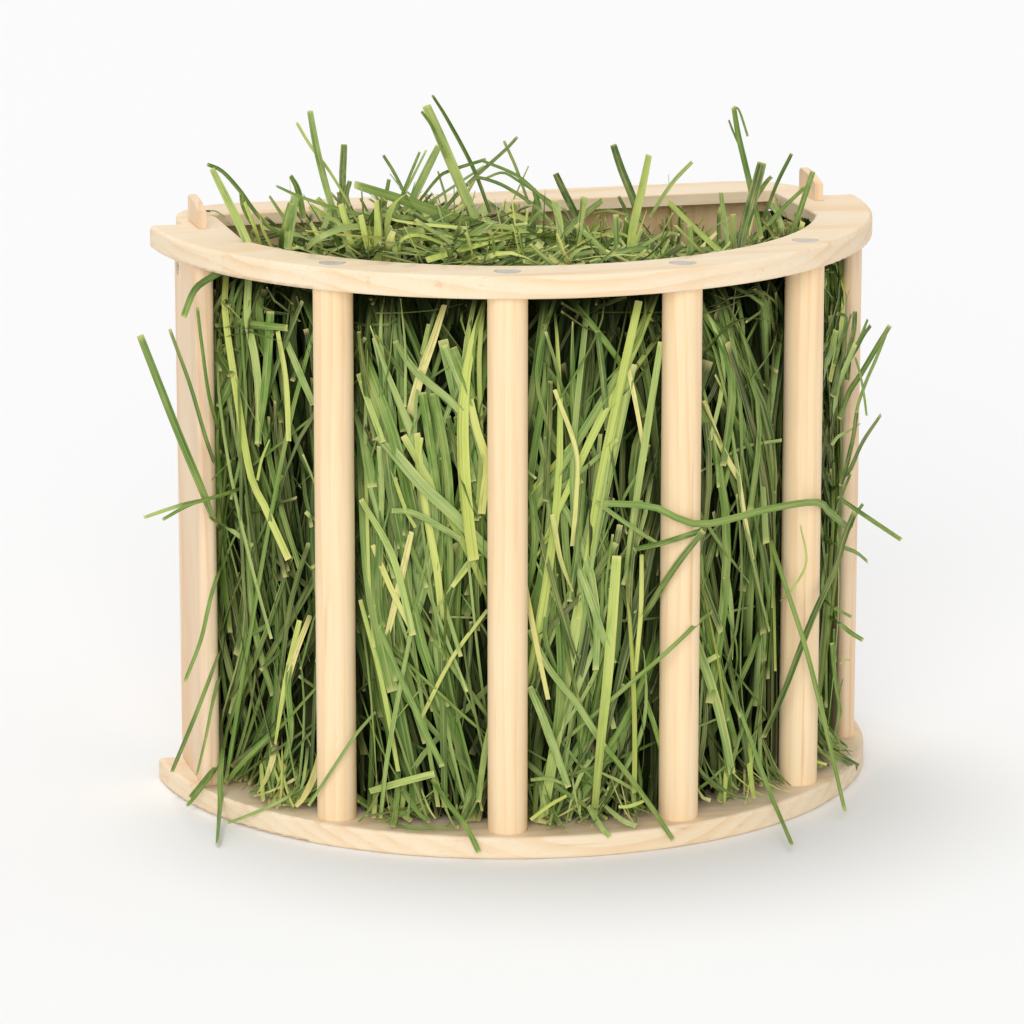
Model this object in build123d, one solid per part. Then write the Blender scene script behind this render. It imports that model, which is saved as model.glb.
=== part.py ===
from build123d import *

import os
from math import cos, hypot, radians, sin

# Half-round hay feeder box, in millimetres. The origin is the centre of the curved front's arc,
# on the underside of the base plate. +Z is up, the curved front faces -Y, the flat back +Y.

# ---- plates ----
front_radius = 148.0  # outer radius of the half-round front of both plates
shoulder_step = 14.0  # the block behind the shoulders is this much narrower on each side
rear_corner_radius = 30.0  # rounding of the two back corners, seen from above
shoulder_corner_radius = 2.0  # rounding of the two sharp ends of the half-round front
shoulder_hollow_radius = 4.0  # rounding inside the step at each shoulder
base_thickness = 9.0
ring_thickness = 9.0
overall_height = 230.0  # underside of the base plate to the top of the ring
plate_edge_round = 1.6  # round-over along the plates' outer edges

# ---- mouth of the ring ----
ring_width = 23.0  # of the curved front
ear_width = 30.0  # from each straight side of the mouth to the widest point of the front
mouth_edge_round = 1.0
ear_inner_round = 6.0  # rounded corner where each ear meets the rail

# ---- back rail, which closes the ring behind the mouth ----
rail_front = 18.0  # the rail's inner face, behind the arc's centre
rail_width = 25.0
rail_thickness = 5.0
rail_edge_round = 0.8
lap_length = 11.0  # each ear's tongue runs this far under the rail
lap_clearance = 0.1

# ---- back panel ----
panel_recess = 12.0  # behind the rail's inner face
panel_thickness = 6.0
panel_side_inset = 14.0  # from the sides of the block behind the shoulders
panel_edge_round = 0.6

# ---- upright dowels, in the middle of the ring's width ----
dowel_count = 4
dowel_diameter = 15.5
dowel_spacing_angle = 29.4  # degrees between neighbours, seen from the arc's centre

# ---- side posts ----
post_inset = 10.0  # outer face, from the widest point of the front
post_thickness = 7.5
post_depth = 44.0
post_back_edge = 0.0  # flush with the shoulders
post_front_round = 3.0
post_back_round = 0.8

# ---- housings that the uprights stand in ----
housing_depth = 3.0
housing_clearance = 0.1

# ---- lugs: strips against the posts' inner faces that stand up through slots in the ring ----
lug_thickness = 3.4
lug_front = -13.0
lug_length = 22.0
lug_front_height = 7.2
lug_back_height = 10.6
lug_back_round = 2.4
lug_edge_round = 0.5
lug_drop = 22.0  # below the ring
lug_slot_clearance = 0.1
lug_crown = 0.9  # how far the lug's sloping top bows out above a straight line

# ---- screws: head diameter, shank diameter, length under the surface ----
ring_nail = (10.4, 4.0, 30.0)  # plain heads
base_screw = (10.4, 4.0, 30.0)
post_screw = (7.0, 3.0, 25.0)
panel_screw = (6.0, 2.4, 25.0)
lug_screw = (6.5, 2.4, 10.2)
screw_sink = 0.4  # heads lie this far below the surface
screw_rim_height = 0.5  # cylindrical rim of a countersunk head
screw_point = 3.0
screw_clearance = 0.1
recess_width = 0.13  # share of the head's diameter
recess_length = 0.5
recess_depth = 0.14
post_screw_inset = 11.0  # from either edge of a post
lug_screw_setback = 6.5  # behind the lug's front edge
lug_screw_drop = 7.0  # below the ring
panel_screw_spacing = 80.0
panel_screw_count = 3

# ---- hay ----
hay_clearance = 0.3
hay_upright_gap = 4.75  # between the packed hay and the dowels
hay_rear_gap = 2.0  # between the packed hay and the back panel
hay_top_depth = 18.0  # from the top of the ring down to the packed hay
hay_top_round = 5.0
swell_round = 4.0
swell_drop = 5.0  # from the top of the packed hay down to the top of each swell
# where the hay swells out between the uprights: angle from straight ahead, half the spread, depth
swells = ((-57.6, 9.3, 6.0), (-29.4, 10.5, 6.0), (0.0, 10.5, 3.2), (29.4, 10.5, 6.0), (57.6, 9.3, 6.0))
tuft_inset = 24.0  # from the packed hay's curved side to the middle of each tuft
tuft_foot = (21.0, 12.0)  # half its length round the mouth, half its width
tuft_crest = (13.0, 5.0)
stalk_root_radius = 1.7
stalk_tip_radius = 0.6
stalk_root_depth = 3.0  # below the crest of its tuft
stalk_knee = (0.42, 0.62)  # share of the way across and of the way up where a stalk bends
# each tuft's angle round the mouth, its height, and the tip of each of its stalks: x, y, height
# above the ring
tufts = (
    (-70, 13, ((-126, -18, 24), (-129, -36, 28), (-104, -48, 26), (-80, -42, 34))),
    (-42, 15, ((-98, -54, 46), (-95, -60, 53), (-91, -97, 23), (-75, -92, 20))),
    (-14, 14, ((-74, -67, 25), (-48, -60, 53), (-43, -60, 56), (-12, -62, 36))),
    (14, 12, ((-12, -62, 28), (6, -68, 13), (13, -72, 17), (40, -66, 31))),
    (42, 9, ((60, -64, 22), (82, -60, 46), (91, -62, 24), (104, -66, 26))),
    (70, 5, ((90, -44, 36), (117, -42, 17), (108, -36, 23), (118, -28, 12))),
)

# ---- places that follow ----
rear_half_width = front_radius - shoulder_step
rear_depth = rail_front + rail_width
mouth_radius = front_radius - ring_width
mouth_half_width = front_radius - ear_width
dowel_circle_radius = front_radius - ring_width / 2
post_outer_face = front_radius - post_inset
panel_front = rail_front + panel_recess
panel_half_width = rear_half_width - panel_side_inset
lug_outer_face = post_outer_face - post_thickness
lug_inner_face = lug_outer_face - lug_thickness
lug_back = lug_front + lug_length
hay_radius = dowel_circle_radius - dowel_diameter / 2 - hay_upright_gap
hay_top = overall_height - hay_top_depth
tuft_circle_radius = hay_radius - tuft_inset
ring_underside = overall_height - ring_thickness
ring_top = overall_height
rail_underside = ring_top - rail_thickness
BIG = 4 * front_radius
SAME = 1e-3  # places nearer than this are one place


def on_circle(radius, angle):
    """Plan point at an angle from straight ahead, which is -Y."""
    return radius * sin(radians(angle)), -radius * cos(radians(angle))


dowel_points = [
    on_circle(dowel_circle_radius, dowel_spacing_angle * (i - (dowel_count - 1) / 2))
    for i in range(dowel_count)
]
post_middle = post_outer_face - post_thickness / 2
post_front_edge = post_back_edge - post_depth
post_screw_points = [
    (side * post_middle, y)
    for side in (-1, 1)
    for y in (post_front_edge + post_screw_inset, post_back_edge - post_screw_inset)
]
panel_middle = panel_front + panel_thickness / 2
panel_screw_points = [
    (panel_screw_spacing * (i - (panel_screw_count - 1) / 2), panel_middle)
    for i in range(panel_screw_count)
]


def box(x0, x1, y0, y1, z0, z1):
    """Box between two corners."""
    return Pos((x0 + x1) / 2, (y0 + y1) / 2, (z0 + z1) / 2) * Box(x1 - x0, y1 - y0, z1 - z0)


def plan_outline():
    """Half-round front, a shoulder at each end, and a narrower block with rounded back corners."""
    turn = rear_corner_radius * (1 - cos(radians(45)))
    w, d, r = rear_half_width, rear_depth, rear_corner_radius
    with BuildSketch() as sketch:
        with BuildLine():
            ThreePointArc((-front_radius, 0), (0, -front_radius), (front_radius, 0))
            Line((front_radius, 0), (w, 0))
            Line((w, 0), (w, d - r))
            ThreePointArc((w, d - r), (w - turn, d - turn), (w - r, d))
            Line((w - r, d), (r - w, d))
            ThreePointArc((r - w, d), (turn - w, d - turn), (-w, d - r))
            Line((-w, d - r), (-w, 0))
            Line((-w, 0), (-front_radius, 0))
        make_face()
        ends = [v for v in sketch.vertices() if abs(v.Y) < SAME and abs(abs(v.X) - front_radius) < SAME]
        fillet(ends, shoulder_corner_radius)
        steps = [v for v in sketch.vertices() if abs(v.Y) < SAME and abs(abs(v.X) - w) < SAME]
        fillet(steps, shoulder_hollow_radius)
    return sketch.sketch


def board(thickness, z):
    """Plate of the full outline with its outer edges rounded over."""
    plate = Pos(0, 0, z) * extrude(plan_outline(), thickness)
    rims = plate.edges().filter_by(Plane.XY)
    return fillet(rims, plate_edge_round)


def screw_profile(head, shank, length, grow):
    """Half section of a countersunk screw that hangs down from the surface at z = 0."""
    head_r = head / 2 + grow
    shank_r = shank / 2 + grow
    top = -screw_sink if grow == 0 else BIG
    rim = -screw_sink - screw_rim_height
    neck = rim - (head_r - shank_r)
    tip = -length - grow
    with BuildSketch(Plane.XZ) as sketch:
        with BuildLine():
            Polyline(
                (0, top), (head_r, top), (head_r, rim), (shank_r, neck),
                (shank_r, tip + screw_point), (0, tip), (0, top),
            )
        make_face()
    return sketch.sketch


def make_nail(size):
    """Countersunk nail with a plain flat head, pointing down from z = 0."""
    return revolve(screw_profile(*size, 0), Axis.Z)


def make_screw(size):
    """The same form with a cross recess."""
    head = size[0]
    body = make_nail(size)
    depth = recess_depth * head
    slot = Pos(0, 0, -screw_sink - depth / 2) * Box(recess_length * head, recess_width * head, depth)
    return body - slot - Rot(0, 0, 90) * slot


def screw_bore(size):
    """Countersunk clearance bore for one screw, open above z = 0."""
    return revolve(screw_profile(*size, screw_clearance), Axis.Z)


def at_each(shape, points, z, upside_down=False):
    """The same shape at each plan point, turned over where it enters from below."""
    turn = Rot(180, 0, 0) if upside_down else Rot(0, 0, 0)
    return [Pos(x, y, z) * turn * shape for x, y in points]


def post_section(side, grow):
    """Plan section of a side post, rounded towards the front."""
    middle_y = (post_front_edge + post_back_edge) / 2
    face = Pos(side * post_middle, middle_y) * Rectangle(post_thickness, post_depth)
    face = fillet(face.vertices().group_by(Axis.Y)[0], post_front_round)
    face = fillet(face.vertices().group_by(Axis.Y)[-1], post_back_round)
    return offset(face, grow) if grow else face


def base_screw_bores():
    """Every bore that enters from under the base plate."""
    return (
        at_each(screw_bore(base_screw), dowel_points, 0, True)
        + at_each(screw_bore(post_screw), post_screw_points, 0, True)
        + at_each(screw_bore(panel_screw), panel_screw_points, 0, True)
    )


def housings(z, height):
    """Pockets that the dowels and posts stand in."""
    pocket_radius = dowel_diameter / 2 + housing_clearance
    pockets = [Pos(x, y, z) * extrude(Circle(pocket_radius), height) for x, y in dowel_points]
    for side in (-1, 1):
        pockets.append(Pos(0, 0, z) * extrude(post_section(side, housing_clearance), height))
    return pockets


def make_base_plate():
    plate = board(base_thickness, 0)
    floor = base_thickness - housing_depth
    groove = box(
        -panel_half_width - housing_clearance, panel_half_width + housing_clearance,
        panel_front - housing_clearance, panel_front + panel_thickness + housing_clearance,
        floor, base_thickness,
    )
    return plate - housings(floor, housing_depth) - groove - base_screw_bores()


def mouth_plan():
    """Opening of the ring, left open towards the back where the rail closes it."""
    strip = Rectangle(2 * mouth_half_width, BIG)
    back = Pos(0, BIG / 2) * Rectangle(2 * mouth_half_width, BIG)
    return (Circle(mouth_radius) + back) & strip


def make_top_ring():
    """Front arch and its two ears, with a tongue under each end of the rail."""
    plate = board(ring_thickness, ring_underside)
    all_round = Rectangle(BIG, BIG)
    upper = Pos(0, rail_front - BIG / 2) * all_round - mouth_plan()
    ear_ends = upper.vertices().filter_by_position(Axis.Y, rail_front - SAME, rail_front + SAME)
    upper = fillet([v for v in ear_ends if abs(abs(v.X) - mouth_half_width) < SAME], ear_inner_round)
    lower = Pos(0, rail_front + lap_length - BIG / 2) * all_round - mouth_plan()
    tongue = ring_thickness - rail_thickness - lap_clearance
    keep = Pos(0, 0, ring_underside) * extrude(lower, tongue)
    keep += Pos(0, 0, ring_underside) * extrude(upper, ring_thickness)
    ring = plate & keep
    rims = [
        e for e in ring.edges().filter_by(Plane.XY)
        if hypot((e @ 0.5).X, (e @ 0.5).Y) < mouth_radius + SAME
        and (e @ 0.5).Y < rail_front - ear_inner_round
        and abs((e @ 0.5).X) < mouth_half_width + SAME
    ]
    ring = fillet(rims, mouth_edge_round)
    bores = at_each(screw_bore(ring_nail), dowel_points, ring_top)
    return ring - housings(ring_underside, housing_depth) - [lug_slot(-1), lug_slot(1)] - bores


def make_back_rail():
    """Flat strip across the back, lying on the panel's top edge and on the ears' tongues."""
    strip = Pos(0, 0, ring_top - ring_thickness) * extrude(plan_outline(), ring_thickness)
    rail = strip & box(-BIG, BIG, rail_front, BIG, rail_underside, ring_top)
    top = rail.edges().filter_by(Plane.XY).group_by(Axis.Z)[-1]
    return fillet(top, rail_edge_round)


def make_back_panel():
    panel = box(
        -panel_half_width, panel_half_width,
        panel_front, panel_front + panel_thickness,
        base_thickness - housing_depth, rail_underside,
    )
    panel = fillet(panel.edges().filter_by(Axis.Z), panel_edge_round)
    return panel - at_each(screw_bore(panel_screw), panel_screw_points, 0, True)


def make_dowel(point):
    """Round upright, housed in both plates and screwed from both ends."""
    low = base_thickness - housing_depth
    high = ring_underside + housing_depth
    rod = Pos(*point, low) * extrude(Circle(dowel_diameter / 2), high - low)
    rod -= at_each(screw_bore(base_screw), [point], 0, True)
    return rod - at_each(screw_bore(ring_nail), [point], ring_top)


def make_post(side):
    low = base_thickness - housing_depth
    high = ring_underside + housing_depth
    plank = Pos(0, 0, low) * extrude(post_section(side, 0), high - low)
    foot_bores = at_each(screw_bore(post_screw), post_screw_points, 0, True)
    return plank - foot_bores - on_post(screw_bore(lug_screw), side)


def lug_slot(side):
    """Slot through the ring for one lug."""
    c = lug_slot_clearance
    x0, x1 = sorted((side * (lug_inner_face - c), side * (lug_outer_face + c)))
    return box(x0, x1, lug_front - c, lug_back + c, ring_underside - c, ring_top + c)


def on_post(shape, side):
    """Turns a screw or its bore to enter through a post's outer face, level with the lug."""
    place = Pos(side * post_outer_face, lug_front + lug_screw_setback, ring_underside - lug_screw_drop)
    return place * Rot(0, side * 90, 0) * shape


def make_lug(side):
    """Strip with a sloping, slightly bowed top and a rounded back corner."""
    low = ring_underside - lug_drop
    front_top = ring_top + lug_front_height
    back_top = ring_top + lug_back_height
    bow = ((lug_front + lug_back) / 2, (front_top + back_top) / 2 + lug_crown)
    with BuildSketch(Plane.YZ) as sketch:
        with BuildLine():
            Line((lug_front, low), (lug_front, front_top))
            ThreePointArc((lug_front, front_top), bow, (lug_back, back_top))
            Line((lug_back, back_top), (lug_back, low))
            Line((lug_back, low), (lug_front, low))
        make_face()
        fillet(sketch.vertices().sort_by(Axis.Y)[-2:].sort_by(Axis.Z)[-1], lug_back_round)
    start = lug_inner_face if side > 0 else -lug_outer_face
    lug = Pos(start, 0, 0) * extrude(sketch.sketch, lug_thickness)
    proud = [e for e in lug.edges() if (e @ 0.5).Z > ring_top + lug_edge_round and abs((e % 0.5).X) < 0.5]
    return fillet(proud, lug_edge_round) - on_post(screw_bore(lug_screw), side)


def make_swell(angle, half_spread, depth):
    """Hay that swells out between two uprights, as a round-edged drum inside the packed hay's block."""
    half_chord = hay_radius * sin(radians(half_spread))
    rise = hay_radius * (1 - cos(radians(half_spread))) + depth
    radius = (half_chord**2 + rise**2) / (2 * rise)
    x, y = on_circle(hay_radius + depth - radius, angle)
    floor = base_thickness + hay_clearance
    height = hay_top - swell_drop - floor
    drum = Pos(x, y, floor + height / 2) * Cylinder(radius, height)
    return fillet(drum.edges().filter_by(GeomType.CIRCLE), swell_round)


def make_hay_bed():
    """Packed hay between the uprights and the back panel, as one closed block."""
    back = panel_front - hay_rear_gap
    plan = Circle(hay_radius) & Pos(0, -BIG / 2) * Rectangle(BIG, BIG)
    plan += Pos(0, back / 2) * Rectangle(2 * hay_radius, back)
    floor = base_thickness + hay_clearance
    block = Pos(0, 0, floor) * extrude(plan, hay_top - floor)
    block = fillet(block.edges().filter_by(Plane.XY).group_by(Axis.Z)[-1], hay_top_round)
    return block + [make_swell(*swell) for swell in swells]


def make_stalk(root, tip):
    """A tapered stalk that bends once on its way from root to tip."""
    across, up = stalk_knee
    knee = Vector(
        root.X + across * (tip.X - root.X),
        root.Y + across * (tip.Y - root.Y),
        root.Z + up * (tip.Z - root.Z),
    )
    knee_radius = (stalk_root_radius + stalk_tip_radius) / 2
    runs = ((root, knee, stalk_root_radius, knee_radius), (knee, tip, knee_radius, stalk_tip_radius))
    foot = (Align.CENTER, Align.CENTER, Align.MIN)
    pieces = [
        Plane(origin=low, z_dir=high - low) * Cone(low_radius, high_radius, (high - low).length, align=foot)
        for low, high, low_radius, high_radius in runs
    ]
    return [*pieces, Pos(knee) * Sphere(knee_radius)]


def make_tuft(angle, mound_height, tips):
    """A mound of loose hay on the packed hay, with the stalks that stand out of it."""
    x, y = on_circle(tuft_circle_radius, angle)
    place = Pos(x, y, hay_top) * Rot(0, 0, angle)
    mound = place * loft([Ellipse(*tuft_foot), Pos(0, 0, mound_height) * Ellipse(*tuft_crest)])
    step = 2 * tuft_crest[0] / len(tips)
    stalks = []
    for i, (tip_x, tip_y, above_ring) in enumerate(tips):
        along = (i - (len(tips) - 1) / 2) * step
        root = (place * Pos(along, 0, mound_height - stalk_root_depth)).position
        stalks += make_stalk(root, Vector(tip_x, tip_y, ring_top + above_ring))
    return mound + stalks


nodes = {
    "base_plate": [make_base_plate()],
    "top_ring": [make_top_ring()],
    "back_rail": [make_back_rail()],
    "back_panel": [make_back_panel()],
    "left_post": [make_post(-1)],
    "right_post": [make_post(1)],
    "left_lug": [make_lug(-1)],
    "right_lug": [make_lug(1)],
    "ring_nails": at_each(make_nail(ring_nail), dowel_points, ring_top),
    "base_screws": at_each(make_screw(base_screw), dowel_points, 0, True),
    "post_screws": at_each(make_screw(post_screw), post_screw_points, 0, True),
    "panel_screws": at_each(make_screw(panel_screw), panel_screw_points, 0, True),
    "lug_screws": [on_post(make_screw(lug_screw), side) for side in (-1, 1)],
    "hay_bed": [make_hay_bed()],
    "hay_tufts": [make_tuft(*tuft) for tuft in tufts],
}
for number, point in enumerate(dowel_points, start=1):
    nodes[f"front_dowel_{number}"] = [make_dowel(point)]

os.makedirs("parts", exist_ok=True)
for name, solids in nodes.items():
    bodies = [body for shape in solids for body in shape.solids()]
    shape = bodies[0] if len(bodies) == 1 else Compound(children=bodies)
    export_step(shape, f"parts/{name}.step")
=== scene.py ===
from math import cos, pi, radians, sin

import bpy
import numpy as np
from bpy.props import FloatProperty, FloatVectorProperty, IntProperty, PointerProperty
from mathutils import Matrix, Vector


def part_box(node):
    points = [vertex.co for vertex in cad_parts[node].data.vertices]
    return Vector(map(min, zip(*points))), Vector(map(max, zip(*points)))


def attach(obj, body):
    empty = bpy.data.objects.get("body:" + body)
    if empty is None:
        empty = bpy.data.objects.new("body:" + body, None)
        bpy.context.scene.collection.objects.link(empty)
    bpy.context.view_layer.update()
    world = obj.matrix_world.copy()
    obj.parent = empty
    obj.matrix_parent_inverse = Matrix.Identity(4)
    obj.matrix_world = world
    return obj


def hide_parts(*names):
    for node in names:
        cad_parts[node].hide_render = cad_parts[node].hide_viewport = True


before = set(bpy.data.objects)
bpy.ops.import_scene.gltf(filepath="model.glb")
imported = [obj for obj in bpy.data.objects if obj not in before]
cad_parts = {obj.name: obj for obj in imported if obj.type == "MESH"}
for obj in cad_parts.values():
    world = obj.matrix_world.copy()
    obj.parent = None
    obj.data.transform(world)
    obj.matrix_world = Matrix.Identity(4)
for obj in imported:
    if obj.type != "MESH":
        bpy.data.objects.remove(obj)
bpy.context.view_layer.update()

bl_info = {
    "name": "Hay feeder box",
    "version": (1, 0, 0),
    "blender": (4, 5, 0),
    "location": "View3D > Sidebar > Hay feeder",
    "description": "Wood finish, screws, packed hay and stage for a half-round hay feeder box",
    "category": "Object",
}

MM = 0.001

BOARDS = ("base_plate", "top_ring", "back_rail")
PANEL = ("back_panel",)
DOWELS = ("front_dowel_1", "front_dowel_2", "front_dowel_3", "front_dowel_4")
POSTS = ("left_post", "right_post")
LUGS = ("left_lug", "right_lug")
SCREWS = ("ring_nails", "base_screws", "post_screws", "panel_screws", "lug_screws")


def shade(red, green, blue):
    """A colour as a screen shows it, turned into the linear colour that Blender keeps."""
    return tuple(
        c / 12.92 if c <= 0.04045 else ((c + 0.055) / 1.055) ** 2.4
        for c in (red / 255, green / 255, blue / 255)
    )


# ---------------------------------------------------------------- sizes and colours


def colour(name, description, default):
    return FloatVectorProperty(
        name=name, description=description, subtype="COLOR", size=3, min=0, max=1, default=default
    )


def length(name, description, default):
    return FloatProperty(
        name=name, description=description, unit="LENGTH", subtype="DISTANCE", min=0, default=default
    )


class WoodSettings(bpy.types.PropertyGroup):
    board: colour("Board", "Early wood of the plates and the rail", shade(242, 224, 195))
    board_ring: colour("Board rings", "Late wood of the plates and the rail", shade(228, 186, 130))
    dowel: colour("Dowel", "Early wood of the dowels", shade(246, 220, 180))
    dowel_ring: colour("Dowel rings", "Late wood of the dowels", shade(230, 184, 128))
    post: colour("Post", "Early wood of the posts and lugs", shade(242, 218, 186))
    post_ring: colour("Post rings", "Late wood of the posts and lugs", shade(226, 178, 128))
    panel: colour("Panel", "Early wood of the back panel", shade(242, 212, 166))
    panel_ring: colour("Panel rings", "Late wood of the back panel", shade(216, 168, 112))
    streak: colour("Streak", "Mineral streaks in all the wood", shade(190, 128, 76))
    ring_spacing: length("Ring spacing", "Growth rings of the boards, from one to the next", 5.2 * MM)
    roughness: FloatProperty(
        name="Roughness", description="Sanded, unvarnished wood", min=0, max=1, default=0.56
    )


class ScrewSettings(bpy.types.PropertyGroup):
    head: colour("Head", "Dull zinc of the nail and screw heads", shade(197, 193, 186))
    roughness: FloatProperty(
        name="Roughness", description="Roughness of the zinc", min=0, max=1, default=0.5
    )


class HaySettings(bpy.types.PropertyGroup):
    seed: IntProperty(name="Seed", description="Start of every random choice", min=0, default=7)
    packed_count: IntProperty(
        name="Packed blades", description="Blades in each half of the rack", min=100, max=2300, default=1350
    )
    heap_count: IntProperty(
        name="Heaped blades", description="Blades across the mouth", min=100, max=2900, default=2300
    )
    foot_count: IntProperty(
        name="Splayed blades", description="Blades that splay out at the foot", min=0, max=1000, default=230
    )
    blade_width: length("Blade width", "Middle width of a blade", 2.9 * MM)
    blade_length: length("Blade length", "Middle length of a packed blade", 135 * MM)
    # The darkest leaf colour, and also painted shade: blades that lie deep and the core's strands go
    # towards it
    darkest: colour("Darkest", "Dark leaves and painted shade, deep in the rack", shade(30, 48, 18))
    leaf: colour("Leaf", "Most of the leaves", shade(94, 132, 46))
    soft_leaf: colour("Soft leaf", "Dry grey green leaves", shade(150, 174, 100))
    young_leaf: colour("Young leaf", "Yellow green leaves", shade(184, 200, 94))
    straw: colour("Straw", "Dry stalks and cut ends", shade(224, 216, 140))
    # Near-black painted shade: the colour of the hay core and of blades where depth_shade is low
    core: colour("Core", "What shows between the blades", shade(16, 24, 9))


class StageSettings(bpy.types.PropertyGroup):
    floor: colour("Floor", "Plain pale floor", shade(247, 247, 247))
    sky_strength: FloatProperty(name="Sky", description="Even light from all round", min=0, default=0.53)
    lamp_strength: FloatProperty(
        name="Lamp", description="Soft lamp from the front left", min=0, default=1.6
    )
    back_strength: FloatProperty(
        name="Back lamp", description="Soft lamp from above and behind", min=0, default=1.06
    )
    camera_distance: length("Camera distance", "From the middle of the box", 2.0023)
    camera_pitch: FloatProperty(
        name="Camera pitch", description="Looking down", subtype="ANGLE", default=radians(13.146)
    )
    camera_yaw: FloatProperty(
        name="Camera yaw", description="To the left of the front", subtype="ANGLE", default=radians(14.688)
    )
    camera_lens: FloatProperty(
        name="Camera lens", description="Focal length", subtype="DISTANCE_CAMERA", default=170.85
    )


def settings(name):
    return getattr(bpy.context.scene, "hay_feeder_" + name)


# ---------------------------------------------------------------- materials


class Nodes:
    """Adds nodes to a material or a node group from left to right."""

    def __init__(self, tree):
        self.tree = tree
        self.count = 0

    def add(self, kind, inputs=None, **options):
        node = self.tree.nodes.new(kind)
        node.location = (200 * (self.count // 4), -220 * (self.count % 4))
        self.count += 1
        for name, value in options.items():
            setattr(node, name, value)
        for name, value in (inputs or {}).items():
            if isinstance(value, bpy.types.NodeSocket):
                self.tree.links.new(value, node.inputs[name])
            else:
                node.inputs[name].default_value = value
        return node

    def place(self):
        """Where a point lies on its object, in metres."""
        return self.add("ShaderNodeTexCoord").outputs["Object"]

    def math(self, operation, first, second=0.0):
        return self.add("ShaderNodeMath", {0: first, 1: second}, operation=operation).outputs[0]

    def vector(self, operation, first, second=(0, 0, 0)):
        node = self.add("ShaderNodeVectorMath", {0: first, 1: second}, operation=operation)
        return node.outputs["Value" if operation == "LENGTH" else "Vector"]

    def noise(self, vector, scale, detail=2.0, roughness=0.5, distortion=0.0):
        inputs = {"Vector": vector, "Scale": scale, "Detail": detail}
        inputs |= {"Roughness": roughness, "Distortion": distortion}
        return self.add("ShaderNodeTexNoise", inputs).outputs["Fac"]

    def streaks(self, vector, stretch, detail=2.0, roughness=0.5, distortion=0.0):
        """Noise that is drawn out where stretch is small."""
        stretched = self.vector("MULTIPLY", vector, stretch)
        return self.noise(stretched, 1.0, detail, roughness, distortion)

    def smooth(self, value, low, high, to_low=0.0, to_high=1.0):
        inputs = {"Value": value, "From Min": low, "From Max": high, "To Min": to_low, "To Max": to_high}
        return self.add("ShaderNodeMapRange", inputs, interpolation_type="SMOOTHSTEP").outputs["Result"]

    def mix(self, share, first, second):
        node = self.add("ShaderNodeMix", data_type="RGBA")
        for socket, value in ((node.inputs[0], share), (node.inputs[6], first), (node.inputs[7], second)):
            if isinstance(value, bpy.types.NodeSocket):
                self.tree.links.new(value, socket)
            else:
                socket.default_value = value if socket == node.inputs[0] else (*value[:3], 1)
        return node.outputs[2]


def new_material(name, **principled):
    """A material with only its Principled shader, and what adds its other nodes."""
    material = bpy.data.materials.new(name)
    material.use_nodes = True
    material.node_tree.nodes.clear()
    nodes = Nodes(material.node_tree)
    shader = nodes.add("ShaderNodeBsdfPrincipled", principled)
    output = nodes.add("ShaderNodeOutputMaterial", {"Surface": shader.outputs["BSDF"]})
    shader.location, output.location = (2200, 0), (2500, 0)
    return material, nodes, shader


def join(nodes, output, shader, name):
    nodes.tree.links.new(output, shader.inputs[name])


def add_relief(nodes, shader, height, strength, distance):
    """Fine relief that only shows in how the surface takes the light."""
    bump = nodes.add("ShaderNodeBump", {"Height": height, "Strength": strength, "Distance": distance})
    join(nodes, bump.outputs["Normal"], shader, "Normal")


def grain_group():
    """Wood grain along X: growth rings round a far pith, fine fibres and broad figure."""
    group = bpy.data.node_groups.get("wood grain")
    if group:
        return group
    group = bpy.data.node_groups.new("wood grain", "ShaderNodeTree")
    sockets = group.interface
    sockets.new_socket("Position", in_out="INPUT", socket_type="NodeSocketVector")
    spacing = sockets.new_socket("Ring Spacing", in_out="INPUT", socket_type="NodeSocketFloat")
    spacing.default_value = 0.005
    wander = sockets.new_socket("Wander", in_out="INPUT", socket_type="NodeSocketFloat")
    wander.default_value = 0.01
    for name in ("Rings", "Fibres", "Figure", "Streaks"):
        sockets.new_socket(name, in_out="OUTPUT", socket_type="NodeSocketFloat")
    nodes = Nodes(group)
    given = nodes.add("NodeGroupInput").outputs
    warp = nodes.streaks(given["Position"], (3.2, 13, 13))
    shift = nodes.math("MULTIPLY", nodes.math("SUBTRACT", warp, 0.5), given["Wander"])
    across = nodes.vector("MULTIPLY", given["Position"], (0, 1, 1))
    radius = nodes.math("ADD", nodes.vector("LENGTH", across), shift)
    ripple = nodes.streaks(given["Position"], (26, 240, 240))
    ripple = nodes.math("MULTIPLY", nodes.math("SUBTRACT", ripple, 0.5), 0.0016)
    radius = nodes.math("ADD", radius, ripple)
    turn = nodes.math("FRACT", nodes.math("DIVIDE", radius, given["Ring Spacing"]))
    rise = nodes.smooth(turn, 0.1, 0.86)
    fall = nodes.smooth(turn, 0.9, 1.0, 1.0, 0.0)
    rings = nodes.math("MULTIPLY", nodes.math("POWER", rise, 2.2), fall)
    fibres = nodes.streaks(given["Position"], (34, 1300, 1300), 3.0, 0.6)
    figure = nodes.streaks(given["Position"], (9, 46, 46), 3.0, 0.55)
    streaks = nodes.smooth(nodes.streaks(given["Position"], (14, 330, 330)), 0.64, 0.8)
    nodes.add(
        "NodeGroupOutput", {"Rings": rings, "Fibres": fibres, "Figure": figure, "Streaks": streaks}
    )
    return group


UPRIGHT = (0, radians(90), 0)  # turns upright grain onto X


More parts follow.
